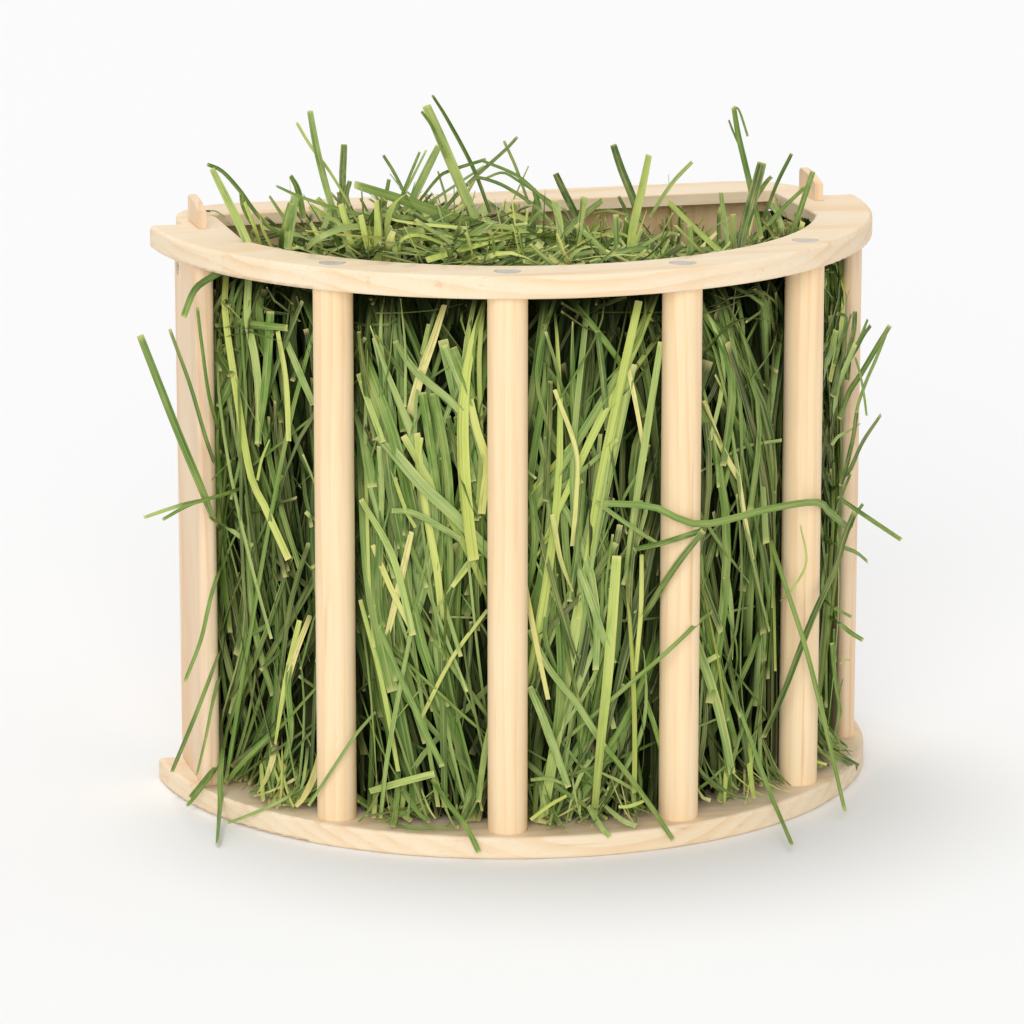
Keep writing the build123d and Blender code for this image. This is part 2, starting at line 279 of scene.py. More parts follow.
def wood_material(name, light, dark, pith, turn=(0, 0, 0), spacing=None, wander=0.012, ring_share=0.4):
    """Pale sanded wood. pith is where the tree's middle lies and turn brings the grain onto X."""
    wood = settings("wood")
    material, nodes, shader = new_material(name, **{"Specular IOR Level": 0.32})
    placed = {"Vector": nodes.place(), "Location": pith, "Rotation": turn}
    placed = nodes.add("ShaderNodeMapping", placed)
    grain = nodes.add("ShaderNodeGroup", node_tree=grain_group())
    nodes.tree.links.new(placed.outputs["Vector"], grain.inputs["Position"])
    grain.inputs["Ring Spacing"].default_value = spacing or wood.ring_spacing
    grain.inputs["Wander"].default_value = wander
    out = grain.outputs
    figure = nodes.smooth(out["Figure"], 0.34, 0.68)
    ring_depth = nodes.smooth(figure, 0.0, 1.0, ring_share * 0.35, ring_share)
    ring_mask = nodes.math("MULTIPLY", out["Rings"], ring_depth)
    body = nodes.mix(ring_mask, light, dark)
    body = nodes.mix(nodes.math("MULTIPLY", figure, 0.16), body, dark)
    fibre = nodes.smooth(out["Fibres"], 0.44, 0.74, 0.0, 0.2)
    body = nodes.mix(fibre, body, dark)
    body = nodes.mix(nodes.math("MULTIPLY", out["Streaks"], 0.3), body, wood.streak)
    join(nodes, body, shader, "Base Color")
    rough = nodes.smooth(out["Fibres"], 0.3, 0.7, wood.roughness - 0.08, wood.roughness + 0.1)
    join(nodes, rough, shader, "Roughness")
    fibre_height = nodes.math("MULTIPLY", out["Fibres"], 0.6)
    height = nodes.math("ADD", fibre_height, nodes.math("MULTIPLY", ring_mask, 0.5))
    add_relief(nodes, shader, height, 0.14, 0.0004)
    return material


def screw_material():
    """Dull zinc with faint turned marks and grime."""
    screw = settings("screws")
    material, nodes, shader = new_material("dull zinc", Metallic=0.15)
    here = nodes.place()
    marks = nodes.noise(here, 900.0, 3.0, 0.6)
    cloud = nodes.noise(here, 160.0, 2.0)
    grime = [c * 0.72 for c in screw.head]
    tone = nodes.mix(nodes.smooth(cloud, 0.35, 0.7, 0.0, 0.45), screw.head, grime)
    join(nodes, tone, shader, "Base Color")
    rough = nodes.smooth(marks, 0.3, 0.7, screw.roughness - 0.08, screw.roughness + 0.12)
    join(nodes, rough, shader, "Roughness")
    add_relief(nodes, shader, marks, 0.1, 0.0002)
    return material


TINTS = 64  # columns of the blades' UV map, from the darkest leaf to straw
BLADE_MAP = "OFBake"


def depth_shade(nodes):
    """Painted shade for the hay: 1 where hay lies open, falling to a low share deep between the uprights or
    under the heap, and darker just under the ring in a painted shadow of the ring.
    """
    parts = nodes.add("ShaderNodeSeparateXYZ", {"Vector": nodes.place()}).outputs
    ahead = nodes.math("MINIMUM", parts["Y"], 0.0)
    squares = nodes.math("ADD", nodes.math("POWER", parts["X"], 2), nodes.math("POWER", ahead, 2))
    radius = nodes.math("SQRT", squares)
    # painted shadow of the ring: near the wall, the hay just under it is darkened to half
    ring_shadow = nodes.smooth(parts["Z"], 0.203, 0.217, 1.0, 0.5)
    near_wall = nodes.math("MULTIPLY", nodes.smooth(radius, 0.1246, 0.1312), ring_shadow)
    in_mouth = nodes.smooth(radius, 0.116, 0.122, 1.0, 0.0)
    near_top = nodes.math("MULTIPLY", nodes.smooth(parts["Z"], 0.2, 0.212), in_mouth)
    open_air = nodes.math("MAXIMUM", near_wall, nodes.smooth(parts["Z"], 0.2255, 0.231))
    return nodes.smooth(nodes.math("MAXIMUM", open_air, near_top), 0.0, 1.0, 0.035, 1.0)


def blade_material():
    """Leaves and stalks. U picks the tint column and runs across a blade, V runs along it."""
    existing = bpy.data.materials.get("dry grass")
    if existing:
        return existing
    hay = settings("hay")
    material, nodes, shader = new_material("dry grass")
    uv = nodes.add("ShaderNodeUVMap", uv_map=BLADE_MAP).outputs["UV"]
    parts = nodes.add("ShaderNodeSeparateXYZ", {"Vector": uv}).outputs
    column = nodes.math("MULTIPLY", parts["X"], TINTS)
    tint = nodes.math("DIVIDE", nodes.math("FLOOR", column), TINTS - 1)
    across = nodes.math("FRACT", column)
    ramp = nodes.add("ShaderNodeValToRGB", {"Fac": tint})
    stops = (
        (0.0, hay.darkest),
        (0.34, hay.leaf),
        (0.56, hay.soft_leaf),
        (0.74, hay.young_leaf),
        (0.9, hay.straw),
    )
    ramp.color_ramp.elements[0].position = 0.0
    ramp.color_ramp.elements[0].color = (*stops[0][1], 1)
    ramp.color_ramp.elements[1].position = 1.0
    ramp.color_ramp.elements[1].color = (*hay.straw, 1)
    for position, value in stops[1:]:
        ramp.color_ramp.elements.new(position).color = (*value, 1)
    body = ramp.outputs["Color"]
    veins = nodes.streaks(uv, (TINTS * 7, 1.6, 0), 2.0, 0.6)
    patches = nodes.streaks(uv, (TINTS * 1.3, 5.0, 0))
    pale = nodes.mix(0.55, body, hay.straw)
    deep = nodes.mix(0.7, body, hay.darkest)
    body = nodes.mix(nodes.smooth(veins, 0.5, 0.72, 0.0, 0.75), body, pale)
    body = nodes.mix(nodes.smooth(veins, 0.28, 0.48, 0.75, 0.0), body, deep)
    body = nodes.mix(nodes.smooth(patches, 0.4, 0.7, 0.0, 0.32), body, pale)
    body = nodes.mix(nodes.smooth(patches, 0.26, 0.46, 0.35, 0.0), body, deep)
    rib = nodes.math("ABSOLUTE", nodes.math("SUBTRACT", across, 0.5))
    body = nodes.mix(nodes.smooth(rib, 0.0, 0.07, 0.4, 0.0), body, pale)
    end = nodes.math("ABSOLUTE", nodes.math("SUBTRACT", parts["Y"], 0.5))
    body = nodes.mix(nodes.smooth(end, 0.46, 0.5, 0.0, 0.7), body, hay.straw)
    body = nodes.mix(nodes.smooth(rib, 0.38, 0.47, 0.0, 0.35), body, pale)
    # Painted shade: where depth_shade falls, blades fade to the near-black core colour and lose their
    # reflections
    lit = depth_shade(nodes)
    body = nodes.mix(lit, hay.core, body)
    join(nodes, body, shader, "Base Color")
    join(nodes, nodes.math("MULTIPLY", lit, 0.3), shader, "Specular IOR Level")
    join(nodes, nodes.smooth(veins, 0.3, 0.7, 0.5, 0.68), shader, "Roughness")
    add_relief(nodes, shader, veins, 0.35, 0.0003)
    return material


def core_material():
    """The dark mass behind the blades, with upright strands. Its near-black colour is painted shade for the
    hay deep in the rack.
    """
    hay = settings("hay")
    material, nodes, shader = new_material("packed core", **{"Specular IOR Level": 0.1})
    strands = nodes.streaks(nodes.place(), (420, 420, 26), 3.0, 0.6, 0.6)
    tone = nodes.mix(nodes.smooth(strands, 0.42, 0.78), hay.core, hay.darkest)
    join(nodes, tone, shader, "Base Color")
    join(nodes, nodes.smooth(strands, 0.3, 0.7, 0.8, 0.95), shader, "Roughness")
    add_relief(nodes, shader, strands, 0.8, 0.002)
    return material


def paint(names, material):
    """Gives CAD nodes a finish of their own."""
    for name in names:
        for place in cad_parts[name].material_slots:
            place.material = material


# ---------------------------------------------------------------- modelling helpers


def clear_selection():
    if bpy.context.object and bpy.context.object.mode != "OBJECT":
        bpy.ops.object.mode_set(mode="OBJECT")
    bpy.ops.object.select_all(action="DESELECT")


def select_points(piece, test):
    """In edit mode, selects just the points that pass a test of their place."""
    bpy.ops.object.mode_set(mode="OBJECT")
    for kind in (piece.data.polygons, piece.data.edges):
        kind.foreach_set("select", [False] * len(kind))
    for point in piece.data.vertices:
        point.select = bool(test(point.co))
    bpy.ops.object.mode_set(mode="EDIT")


def apply_modifier(piece, kind, name, **options):
    modifier = piece.modifiers.new(name, kind)
    for option, value in options.items():
        setattr(modifier, option, value)
    bpy.context.view_layer.objects.active = piece
    bpy.ops.object.modifier_apply(modifier=modifier.name)


def finish_piece(piece, name, material, slot, *nodes):
    """Names a new piece, gives it its finish, and lets it ride in place of CAD nodes."""
    piece.name = piece.data.name = name
    bpy.ops.object.select_all(action="DESELECT")
    piece.select_set(True)
    bpy.context.view_layer.objects.active = piece
    bpy.ops.object.transform_apply(location=True, rotation=True, scale=True)
    piece.data.materials.clear()
    piece.data.materials.append(material)
    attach(piece, "root")
    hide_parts(*nodes)


# ---------------------------------------------------------------- hay

RACK_RADIUS = 0.128  # lengths along the rack's wall are measured at this radius
SIDE_REACH = 0.0283  # hay runs this far behind the arc's centre, up to the panel
FLOOR_LEVEL = 0.0098  # just over the base plate
PACKED_TOP = 0.226  # upright blades end below this height
RIM_LOW, RIM_HIGH = 0.2195, 0.2315  # the ring's underside and top, with some room
MOUTH_RADIUS = 0.1225  # hay may reach this far out in the mouth
MOUTH_SIDE = 0.1163  # and this far to each side there
MOUTH_BACK = 0.0168  # and this far back, up to the rail
BEHIND_DOWEL = 0.1268  # hay may reach this far out right behind a dowel
GAP_SWELL = 0.0062  # and this much further between two uprights
POST_SWELL = 0.004  # and this much more in the gap beside a post
LUG_BOTTOM = 0.193
LUG_FRONT = -0.018
BETWEEN_LUGS = 0.1245  # how far to each side hay may reach next to the lugs
POST_FRONT = -0.05
BETWEEN_POSTS = 0.1295  # how far to each side it may reach next to the posts
AHEAD_OF_POSTS = 0.136  # and further forward than they stand
DOWEL_COUNT = 4
DOWEL_SPACING = 29.4  # degrees round the rack, from one dowel to the next
OUTER_GAP = 56.0  # degrees from the rack's middle to the gap between a dowel and a post
DOWEL_ANGLES = tuple(
    radians(DOWEL_SPACING * (i - (DOWEL_COUNT - 1) / 2)) for i in range(DOWEL_COUNT)
)
BLADE_FOLD = 0.16  # how far the two halves of a blade fold up, as a share of its width
BLADE_THICKNESS = 0.14  # as a share of its width
CORE_RADIUS = 0.1135  # of the dark mass that the blades stand against
SMOOTHING_PASSES = 2


def model_blade(name, segments):
    """Models one folded blade, a unit wide and a unit long, standing along Z."""
    clear_selection()
    bpy.ops.mesh.primitive_circle_add(vertices=4, radius=0.5, fill_type="NGON", location=(0, 0, 0))
    blade = bpy.context.object
    blade.name = name
    bpy.ops.object.mode_set(mode="EDIT")
    bpy.ops.transform.resize(value=(1, BLADE_THICKNESS, 1))
    select_points(blade, lambda co: abs(co.x) > 0.1)
    bpy.ops.transform.translate(value=(0, BLADE_FOLD, 0))
    bpy.ops.mesh.select_all(action="SELECT")
    for _ in range(segments):
        bpy.ops.mesh.extrude_region_move(TRANSFORM_OT_translate={"value": (0, 0, 1 / segments)})
    bpy.ops.mesh.select_all(action="SELECT")
    bpy.ops.mesh.normals_make_consistent(inside=False)
    bpy.ops.object.mode_set(mode="OBJECT")
    return blade


def on_wall(s, radius):
    """Plan places and outward directions at a length s along the rack's wall, from its middle."""
    quarter = RACK_RADIUS * pi / 2
    angle = np.clip(s, -quarter, quarter) / RACK_RADIUS
    out = np.stack([np.sin(angle), -np.cos(angle)], -1)
    place = out * np.asarray(radius)[..., None]
    place[..., 1] += np.maximum(np.abs(s) - quarter, 0)
    return place, out


def beside_post(angle):
    """0 in front, rising to 1 beside the posts."""
    return np.clip((np.abs(angle) - radians(60)) / radians(10), 0, 1)


def keep_inside(spines):
    """Holds packed blades behind the dowels, between the posts, over the plate and in the mouth."""
    x, y, z = (spines[..., i].copy() for i in range(3))
    y = np.minimum(y, SIDE_REACH)
    radius = np.hypot(x, np.minimum(y, 0)) + 1e-9
    angle = np.arctan2(x, -np.minimum(y, -1e-6))
    nearest = np.min(np.abs(angle[..., None] - np.array(DOWEL_ANGLES)), -1)
    gap = np.clip((nearest - radians(3.2)) / radians(2.6), 0, 1)
    limit = BEHIND_DOWEL + (GAP_SWELL + POST_SWELL * beside_post(angle)) * gap * gap * (3 - 2 * gap)
    rim = np.clip((z - RIM_LOW + 0.006) / 0.006, 0, 1) * (z < RIM_HIGH + 0.004)
    limit = limit * (1 - rim) + MOUTH_RADIUS * rim
    share = np.minimum(1, limit / radius)
    x *= share
    y = np.where(y < 0, y * share, y)
    side = np.where(y > POST_FRONT, BETWEEN_POSTS, AHEAD_OF_POSTS)
    side = np.where((z > LUG_BOTTOM) & (y > LUG_FRONT), BETWEEN_LUGS, side)
    side = np.where((rim > 0.5) & (y > POST_FRONT), MOUTH_SIDE, side)
    x = np.clip(x, -side, side)
    y = np.where(rim > 0.5, np.minimum(y, MOUTH_BACK), y)
    z = np.maximum(z, FLOOR_LEVEL)
    return np.stack([x, y, z], -1)


def relax(spines):
    """Smooths what keep_inside has bent, so that no blade has a sharp kink."""
    spines = keep_inside(spines)
    for _ in range(SMOOTHING_PASSES):
        middle = (spines[:, :-2] + spines[:, 2:]) / 2
        spines[:, 1:-1] = spines[:, 1:-1] * 0.5 + middle * 0.5
        spines = keep_inside(spines)
    return spines


def lay_blades(name, blade, spines, facing, width, tint, taper, roll, curl):
    """Lays one copy of a modelled blade along each spine and joins the copies in one mesh."""
    count, rings = spines.shape[:2]
    shape = np.array([v.co for v in blade.data.vertices])
    faces = [list(p.vertices) for p in blade.data.polygons]
    level = np.rint(shape[:, 2] * (rings - 1)).astype(int)
    along = np.linspace(0, 1, rings)
    tangent = np.gradient(spines, axis=1)
    tangent /= np.linalg.norm(tangent, axis=-1, keepdims=True) + 1e-12
    normal = facing - (facing * tangent).sum(-1, keepdims=True) * tangent
    normal /= np.linalg.norm(normal, axis=-1, keepdims=True) + 1e-12
    across = np.cross(normal, tangent)
    turn = (roll[:, None] + curl[:, None] * (along - 0.5))[..., None]
    turned = np.cos(turn) * normal + np.sin(turn) * across
    across = np.cos(turn) * across - np.sin(turn) * normal
    normal = turned
    # a blade narrows towards its tip, and a little at its root
    profile = 1 - taper[:, None] * along**2.6 - 0.18 * (1 - along) ** 4
    size = (width[:, None] * np.maximum(profile, 0.06))[..., None]
    points = (
        spines[:, level]
        + across[:, level] * size[:, level] * shape[:, 0][None, :, None]
        + normal[:, level] * size[:, level] * shape[:, 1][None, :, None]
    )
    step = len(shape)
    corner_count = [len(f) for f in faces]
    corners = np.concatenate([np.array(f) for f in faces])
    all_corners = (corners[None] + step * np.arange(count)[:, None]).ravel()
    mesh = bpy.data.meshes.new(name)
    mesh.vertices.add(count * step)
    mesh.vertices.foreach_set("co", points.astype(np.float32).ravel())
    mesh.loops.add(len(all_corners))
    mesh.loops.foreach_set("vertex_index", all_corners)
    starts = np.concatenate([[0], np.cumsum(corner_count)])
    mesh.polygons.add(count * len(faces))
    mesh.polygons.foreach_set(
        "loop_start", (starts[:-1][None] + starts[-1] * np.arange(count)[:, None]).ravel()
    )
    mesh.update(calc_edges=True)
    column = np.clip(np.rint(tint * (TINTS - 1)), 0, TINTS - 1)
    u = (column[:, None] + 0.12 + 0.76 * (shape[:, 0][None] + 0.5)) / TINTS
    v = np.broadcast_to(0.01 + 0.98 * shape[:, 2][None], u.shape)
    layer = mesh.uv_layers.new(name=BLADE_MAP)
    places = np.stack([u.ravel()[all_corners], v.ravel()[all_corners]], -1)
    layer.uv.foreach_set("vector", places.astype(np.float32).ravel())
    mesh.validate()
    mesh.shade_smooth()
    mesh.set_sharp_from_angle(angle=radians(40))
    piece = bpy.data.objects.new(name, mesh)
    bpy.context.scene.collection.objects.link(piece)
    return piece


def some_tints(rng, count, pale=0.0):
    """Mostly leaf greens, some dark, some dry and some yellow green."""
    pick = rng.random(count)
    tint = rng.normal(0.36, 0.1, count)
    tint = np.where(pick < 0.26, rng.normal(0.16, 0.07, count), tint)
    tint = np.where(pick > 0.68 - pale, rng.normal(0.56, 0.07, count), tint)
    tint = np.where(pick > 0.86 - pale, rng.normal(0.74, 0.05, count), tint)
    tint = np.where(pick > 0.95 - pale / 2, rng.uniform(0.84, 1.0, count), tint)
    return np.clip(tint, 0, 1)


def shaded_by_depth(tints, depth):
    """Painted shade: darker tints for blades that lie deep, where a depth of 1 is as dark as they get."""
    return np.clip(tints, 0, 1) * (1 - 0.85 * np.clip(depth, 0, 1) ** 0.8)


# How many radians the blades lean to the right, by degrees round the rack from its middle.
LEAN = ((-90, 0.0), (-62, -0.1), (-29, -0.2), (0, 0.12), (29, -0.14), (60, 0.16), (90, 0.0))


def packed_blades(name, blade, side, count, rng):
    """Upright blades in tufts against one half of the rack."""
    hay = settings("hay")
    rings = 10
    t = np.linspace(-0.5, 0.5, rings)[None]
    half = RACK_RADIUS * pi / 2 + SIDE_REACH
    tufts = count // 8
    tuft = rng.integers(0, tufts, count)
    tuft_s = side * rng.uniform(-0.004, half, tufts)
    lean = np.interp(np.degrees(tuft_s / RACK_RADIUS), *zip(*LEAN)) + rng.normal(0, 0.15, tufts)
    lean = np.where(rng.random(tufts) < 0.08, rng.uniform(-0.7, 0.7, tufts), lean)
    tuft_z, tuft_bow = rng.uniform(0.0, 0.26, tufts), rng.normal(0, 0.007, tufts)
    tuft_depth, tuft_tint = np.abs(rng.normal(0, 0.0095, tufts)), rng.normal(0, 0.08, tufts)
    loner = rng.random(count) < 0.14
    alone_s = side * rng.uniform(-0.004, half, count)
    s = np.where(loner, alone_s, tuft_s[tuft] + rng.normal(0, 0.005, count))
    s = side * np.clip(side * s, -0.012, half)
    lean = lean[tuft] + rng.normal(0, 0.055, count)
    lean = np.where(loner, rng.normal(0, 0.5, count), lean)
    lean = np.where(rng.random(count) < 0.4, lean + pi, lean)
    size = np.clip(rng.lognormal(0, 0.34, count) * hay.blade_length, 0.045, 0.212)
    size = np.where(loner, size * 0.7, size)
    z = np.clip(tuft_z[tuft] + rng.normal(0, 0.025, count), FLOOR_LEVEL, PACKED_TOP)
    rise = np.abs(np.cos(lean)) * size / 2
    far_back = np.abs(s) > RACK_RADIUS * radians(66)
    top = np.where(far_back, rng.uniform(0.215, 0.2205, count), PACKED_TOP)
    lifted = far_back & (rng.random(count) < 0.4)
    # a place at infinity is brought down to the highest one that the blade fits in
    z = np.where(lifted, np.inf, z)
    z = np.clip(z, FLOOR_LEVEL + rise, np.maximum(top - rise, FLOOR_LEVEL + rise))
    depth = np.clip(tuft_depth[tuft] + rng.normal(0.002, 0.0022, count), 0, 0.021)
    depth = np.where(loner, np.abs(rng.normal(0, 0.004, count)), depth)
    bow = (tuft_bow[tuft] + rng.normal(0, 0.0024, count)) * size / 0.1
    wave, swing = rng.uniform(0, 2 * pi, count), rng.normal(0, 0.0026, count)
    sway, sway_at = rng.normal(0, 0.0016, count), rng.uniform(0, 2 * pi, count)
    spine_s = s[:, None] + np.sin(lean)[:, None] * size[:, None] * t + bow[:, None] * np.cos(pi * t)
    spine_s = spine_s + sway[:, None] * np.sin(2.2 * pi * t + sway_at[:, None])
    spine_z = z[:, None] + np.cos(lean)[:, None] * size[:, None] * t
    radius = 0.1322 + 0.0045 * beside_post(spine_s / RACK_RADIUS) - depth[:, None]
    radius = radius + swing[:, None] * np.sin(pi * 1.5 * t + wave[:, None])
    place, out = on_wall(spine_s, radius)
    spines = relax(np.concatenate([place, spine_z[..., None]], -1))
    facing = np.concatenate([out, np.zeros((count, rings, 1))], -1)
    width = np.clip(rng.lognormal(0, 0.36, count) * hay.blade_width, 0.0011, 0.0052)
    width = np.where(loner, width * 0.6, width)
    tints = np.minimum(some_tints(rng, count) + tuft_tint[tuft], 0.76)
    # deeper blades take darker tints, a painted shade
    return lay_blades(
        name, blade, spines, facing, width, shaded_by_depth(tints, depth / 0.009),
        rng.choice([0.1, 0.45, 0.9], count, p=[0.35, 0.2, 0.45]),
        rng.normal(0, 0.5, count), rng.normal(0, 0.6, count),
    )


def foot_blades(name, blade, count, rng):
    """Short blades at the foot that splay out over the base plate between the uprights."""
    hay = settings("hay")
    rings = 10
    t = np.linspace(0, 1, rings)[None]
    root = 0.1225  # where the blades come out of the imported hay
    gaps = np.array([0.0, DOWEL_SPACING, -DOWEL_SPACING, OUTER_GAP, -OUTER_GAP])
    reach = np.array([9.0, 9.0, 9.0, 7.0, 7.0])
    gap = rng.integers(0, len(gaps), count)
    angle = np.radians(gaps[gap] + rng.uniform(-1, 1, count) * reach[gap])
    low_end = rng.uniform(0.129, 0.1465, count)
    size = rng.uniform(0.014, 0.05, count)
    turn = rng.normal(0, 0.16, count)
    radius = root + (low_end - root)[:, None] * t**1.6
    bearing = angle[:, None] + turn[:, None] * (1 - t)
    leftmost = np.radians(gaps[gap] - reach[gap])[:, None]
    rightmost = np.radians(gaps[gap] + reach[gap])[:, None]
    bearing = np.clip(bearing, leftmost, rightmost)
    z = FLOOR_LEVEL + 0.0006 + rng.uniform(0, 0.003, count)[:, None] + size[:, None] * (1 - t) ** 1.5
    spines = np.stack([radius * np.sin(bearing), -radius * np.cos(bearing), z], -1)
    facing = np.stack([np.sin(bearing), -np.cos(bearing), np.full_like(bearing, 0.9)], -1)
    width = np.clip(rng.lognormal(0, 0.4, count) * hay.blade_width * 0.6, 0.0007, 0.0034)
    return lay_blades(
        name, blade, spines, facing, width, some_tints(rng, count, 0.1),
        rng.choice([0.1, 0.5, 0.9], count), rng.normal(0, 0.7, count), rng.normal(0, 1.3, count),
    )


def heap_level(x, y):
    """Height of the heap in the mouth: high in front and on the left, low at the back right."""
    front = np.clip((-y + 0.015) / 0.115, 0, 1)
    crest = 0.019 * np.exp(-(((x + 0.052) / 0.036) ** 2) - ((y + 0.05) / 0.05) ** 2)
    low_right = 0.006 * np.clip(x / 0.06, 0, 1) * (1.1 - 0.5 * front)
    far_left = np.clip((-x - 0.086) / 0.02, 0, 1)
    return 0.2135 + 0.0165 * front + crest - low_right - 0.017 * far_left


def heaped_blades(name, blade, count, rng):
    """A tangle of short blades across the mouth, with cut ends that stand up."""
    hay = settings("hay")
    rings = 8
    t = np.linspace(-0.5, 0.5, rings)[None]
    radius = 0.121 * np.sqrt(rng.random(count))
    angle = rng.uniform(-pi, pi, count)
    x, y = radius * np.sin(angle), -radius * np.cos(angle)
    y = np.where(y > 0, y * 0.22, y)
    size = np.clip(rng.lognormal(0, 0.42, count) * 0.055, 0.016, 0.115)
    heading = rng.uniform(0, 2 * pi, count)
    climb = rng.normal(0.1, 0.3, count)
    standing = rng.random(count) < 0.15
    climb = np.where(standing, rng.uniform(0.5, 1.35, count), climb)
    size = np.where(standing, np.minimum(size, 0.032), size)
    depth = np.abs(rng.normal(0, 0.0085, count))
    z = heap_level(x, y) - depth - 0.4 * np.abs(np.sin(climb)) * size * ~standing
    flat = np.cos(climb) * size
    droop = rng.normal(-0.02, 0.15, count) * size
    side = rng.normal(0, 0.22, count) * size
    along_x, along_y = np.cos(heading)[:, None], np.sin(heading)[:, None]
    flat, side, bulge = flat[:, None], side[:, None], np.cos(pi * t)
    spine_x = x[:, None] + along_x * flat * t - along_y * side * bulge
    spine_y = y[:, None] + along_y * flat * t + along_x * side * bulge
    spine_z = z[:, None] + np.sin(climb)[:, None] * size[:, None] * t + droop[:, None] * (bulge - 0.6)
    spines = relax(np.stack([spine_x, spine_y, spine_z], -1))
    facing = np.broadcast_to(np.array([0.0, -0.35, 1.0]), spines.shape)
    width = np.clip(rng.lognormal(0, 0.42, count) * hay.blade_width * 0.6, 0.0006, 0.0044)
    # deeper blades take darker tints, a painted shade
    return lay_blades(
        name, blade, spines, facing, width, shaded_by_depth(some_tints(rng, count, 0.42), depth / 0.014),
        rng.choice([0.1, 0.4, 0.9], count, p=[0.5, 0.25, 0.25]),
        rng.normal(0, 0.9, count), rng.normal(0, 1.2, count),
    )


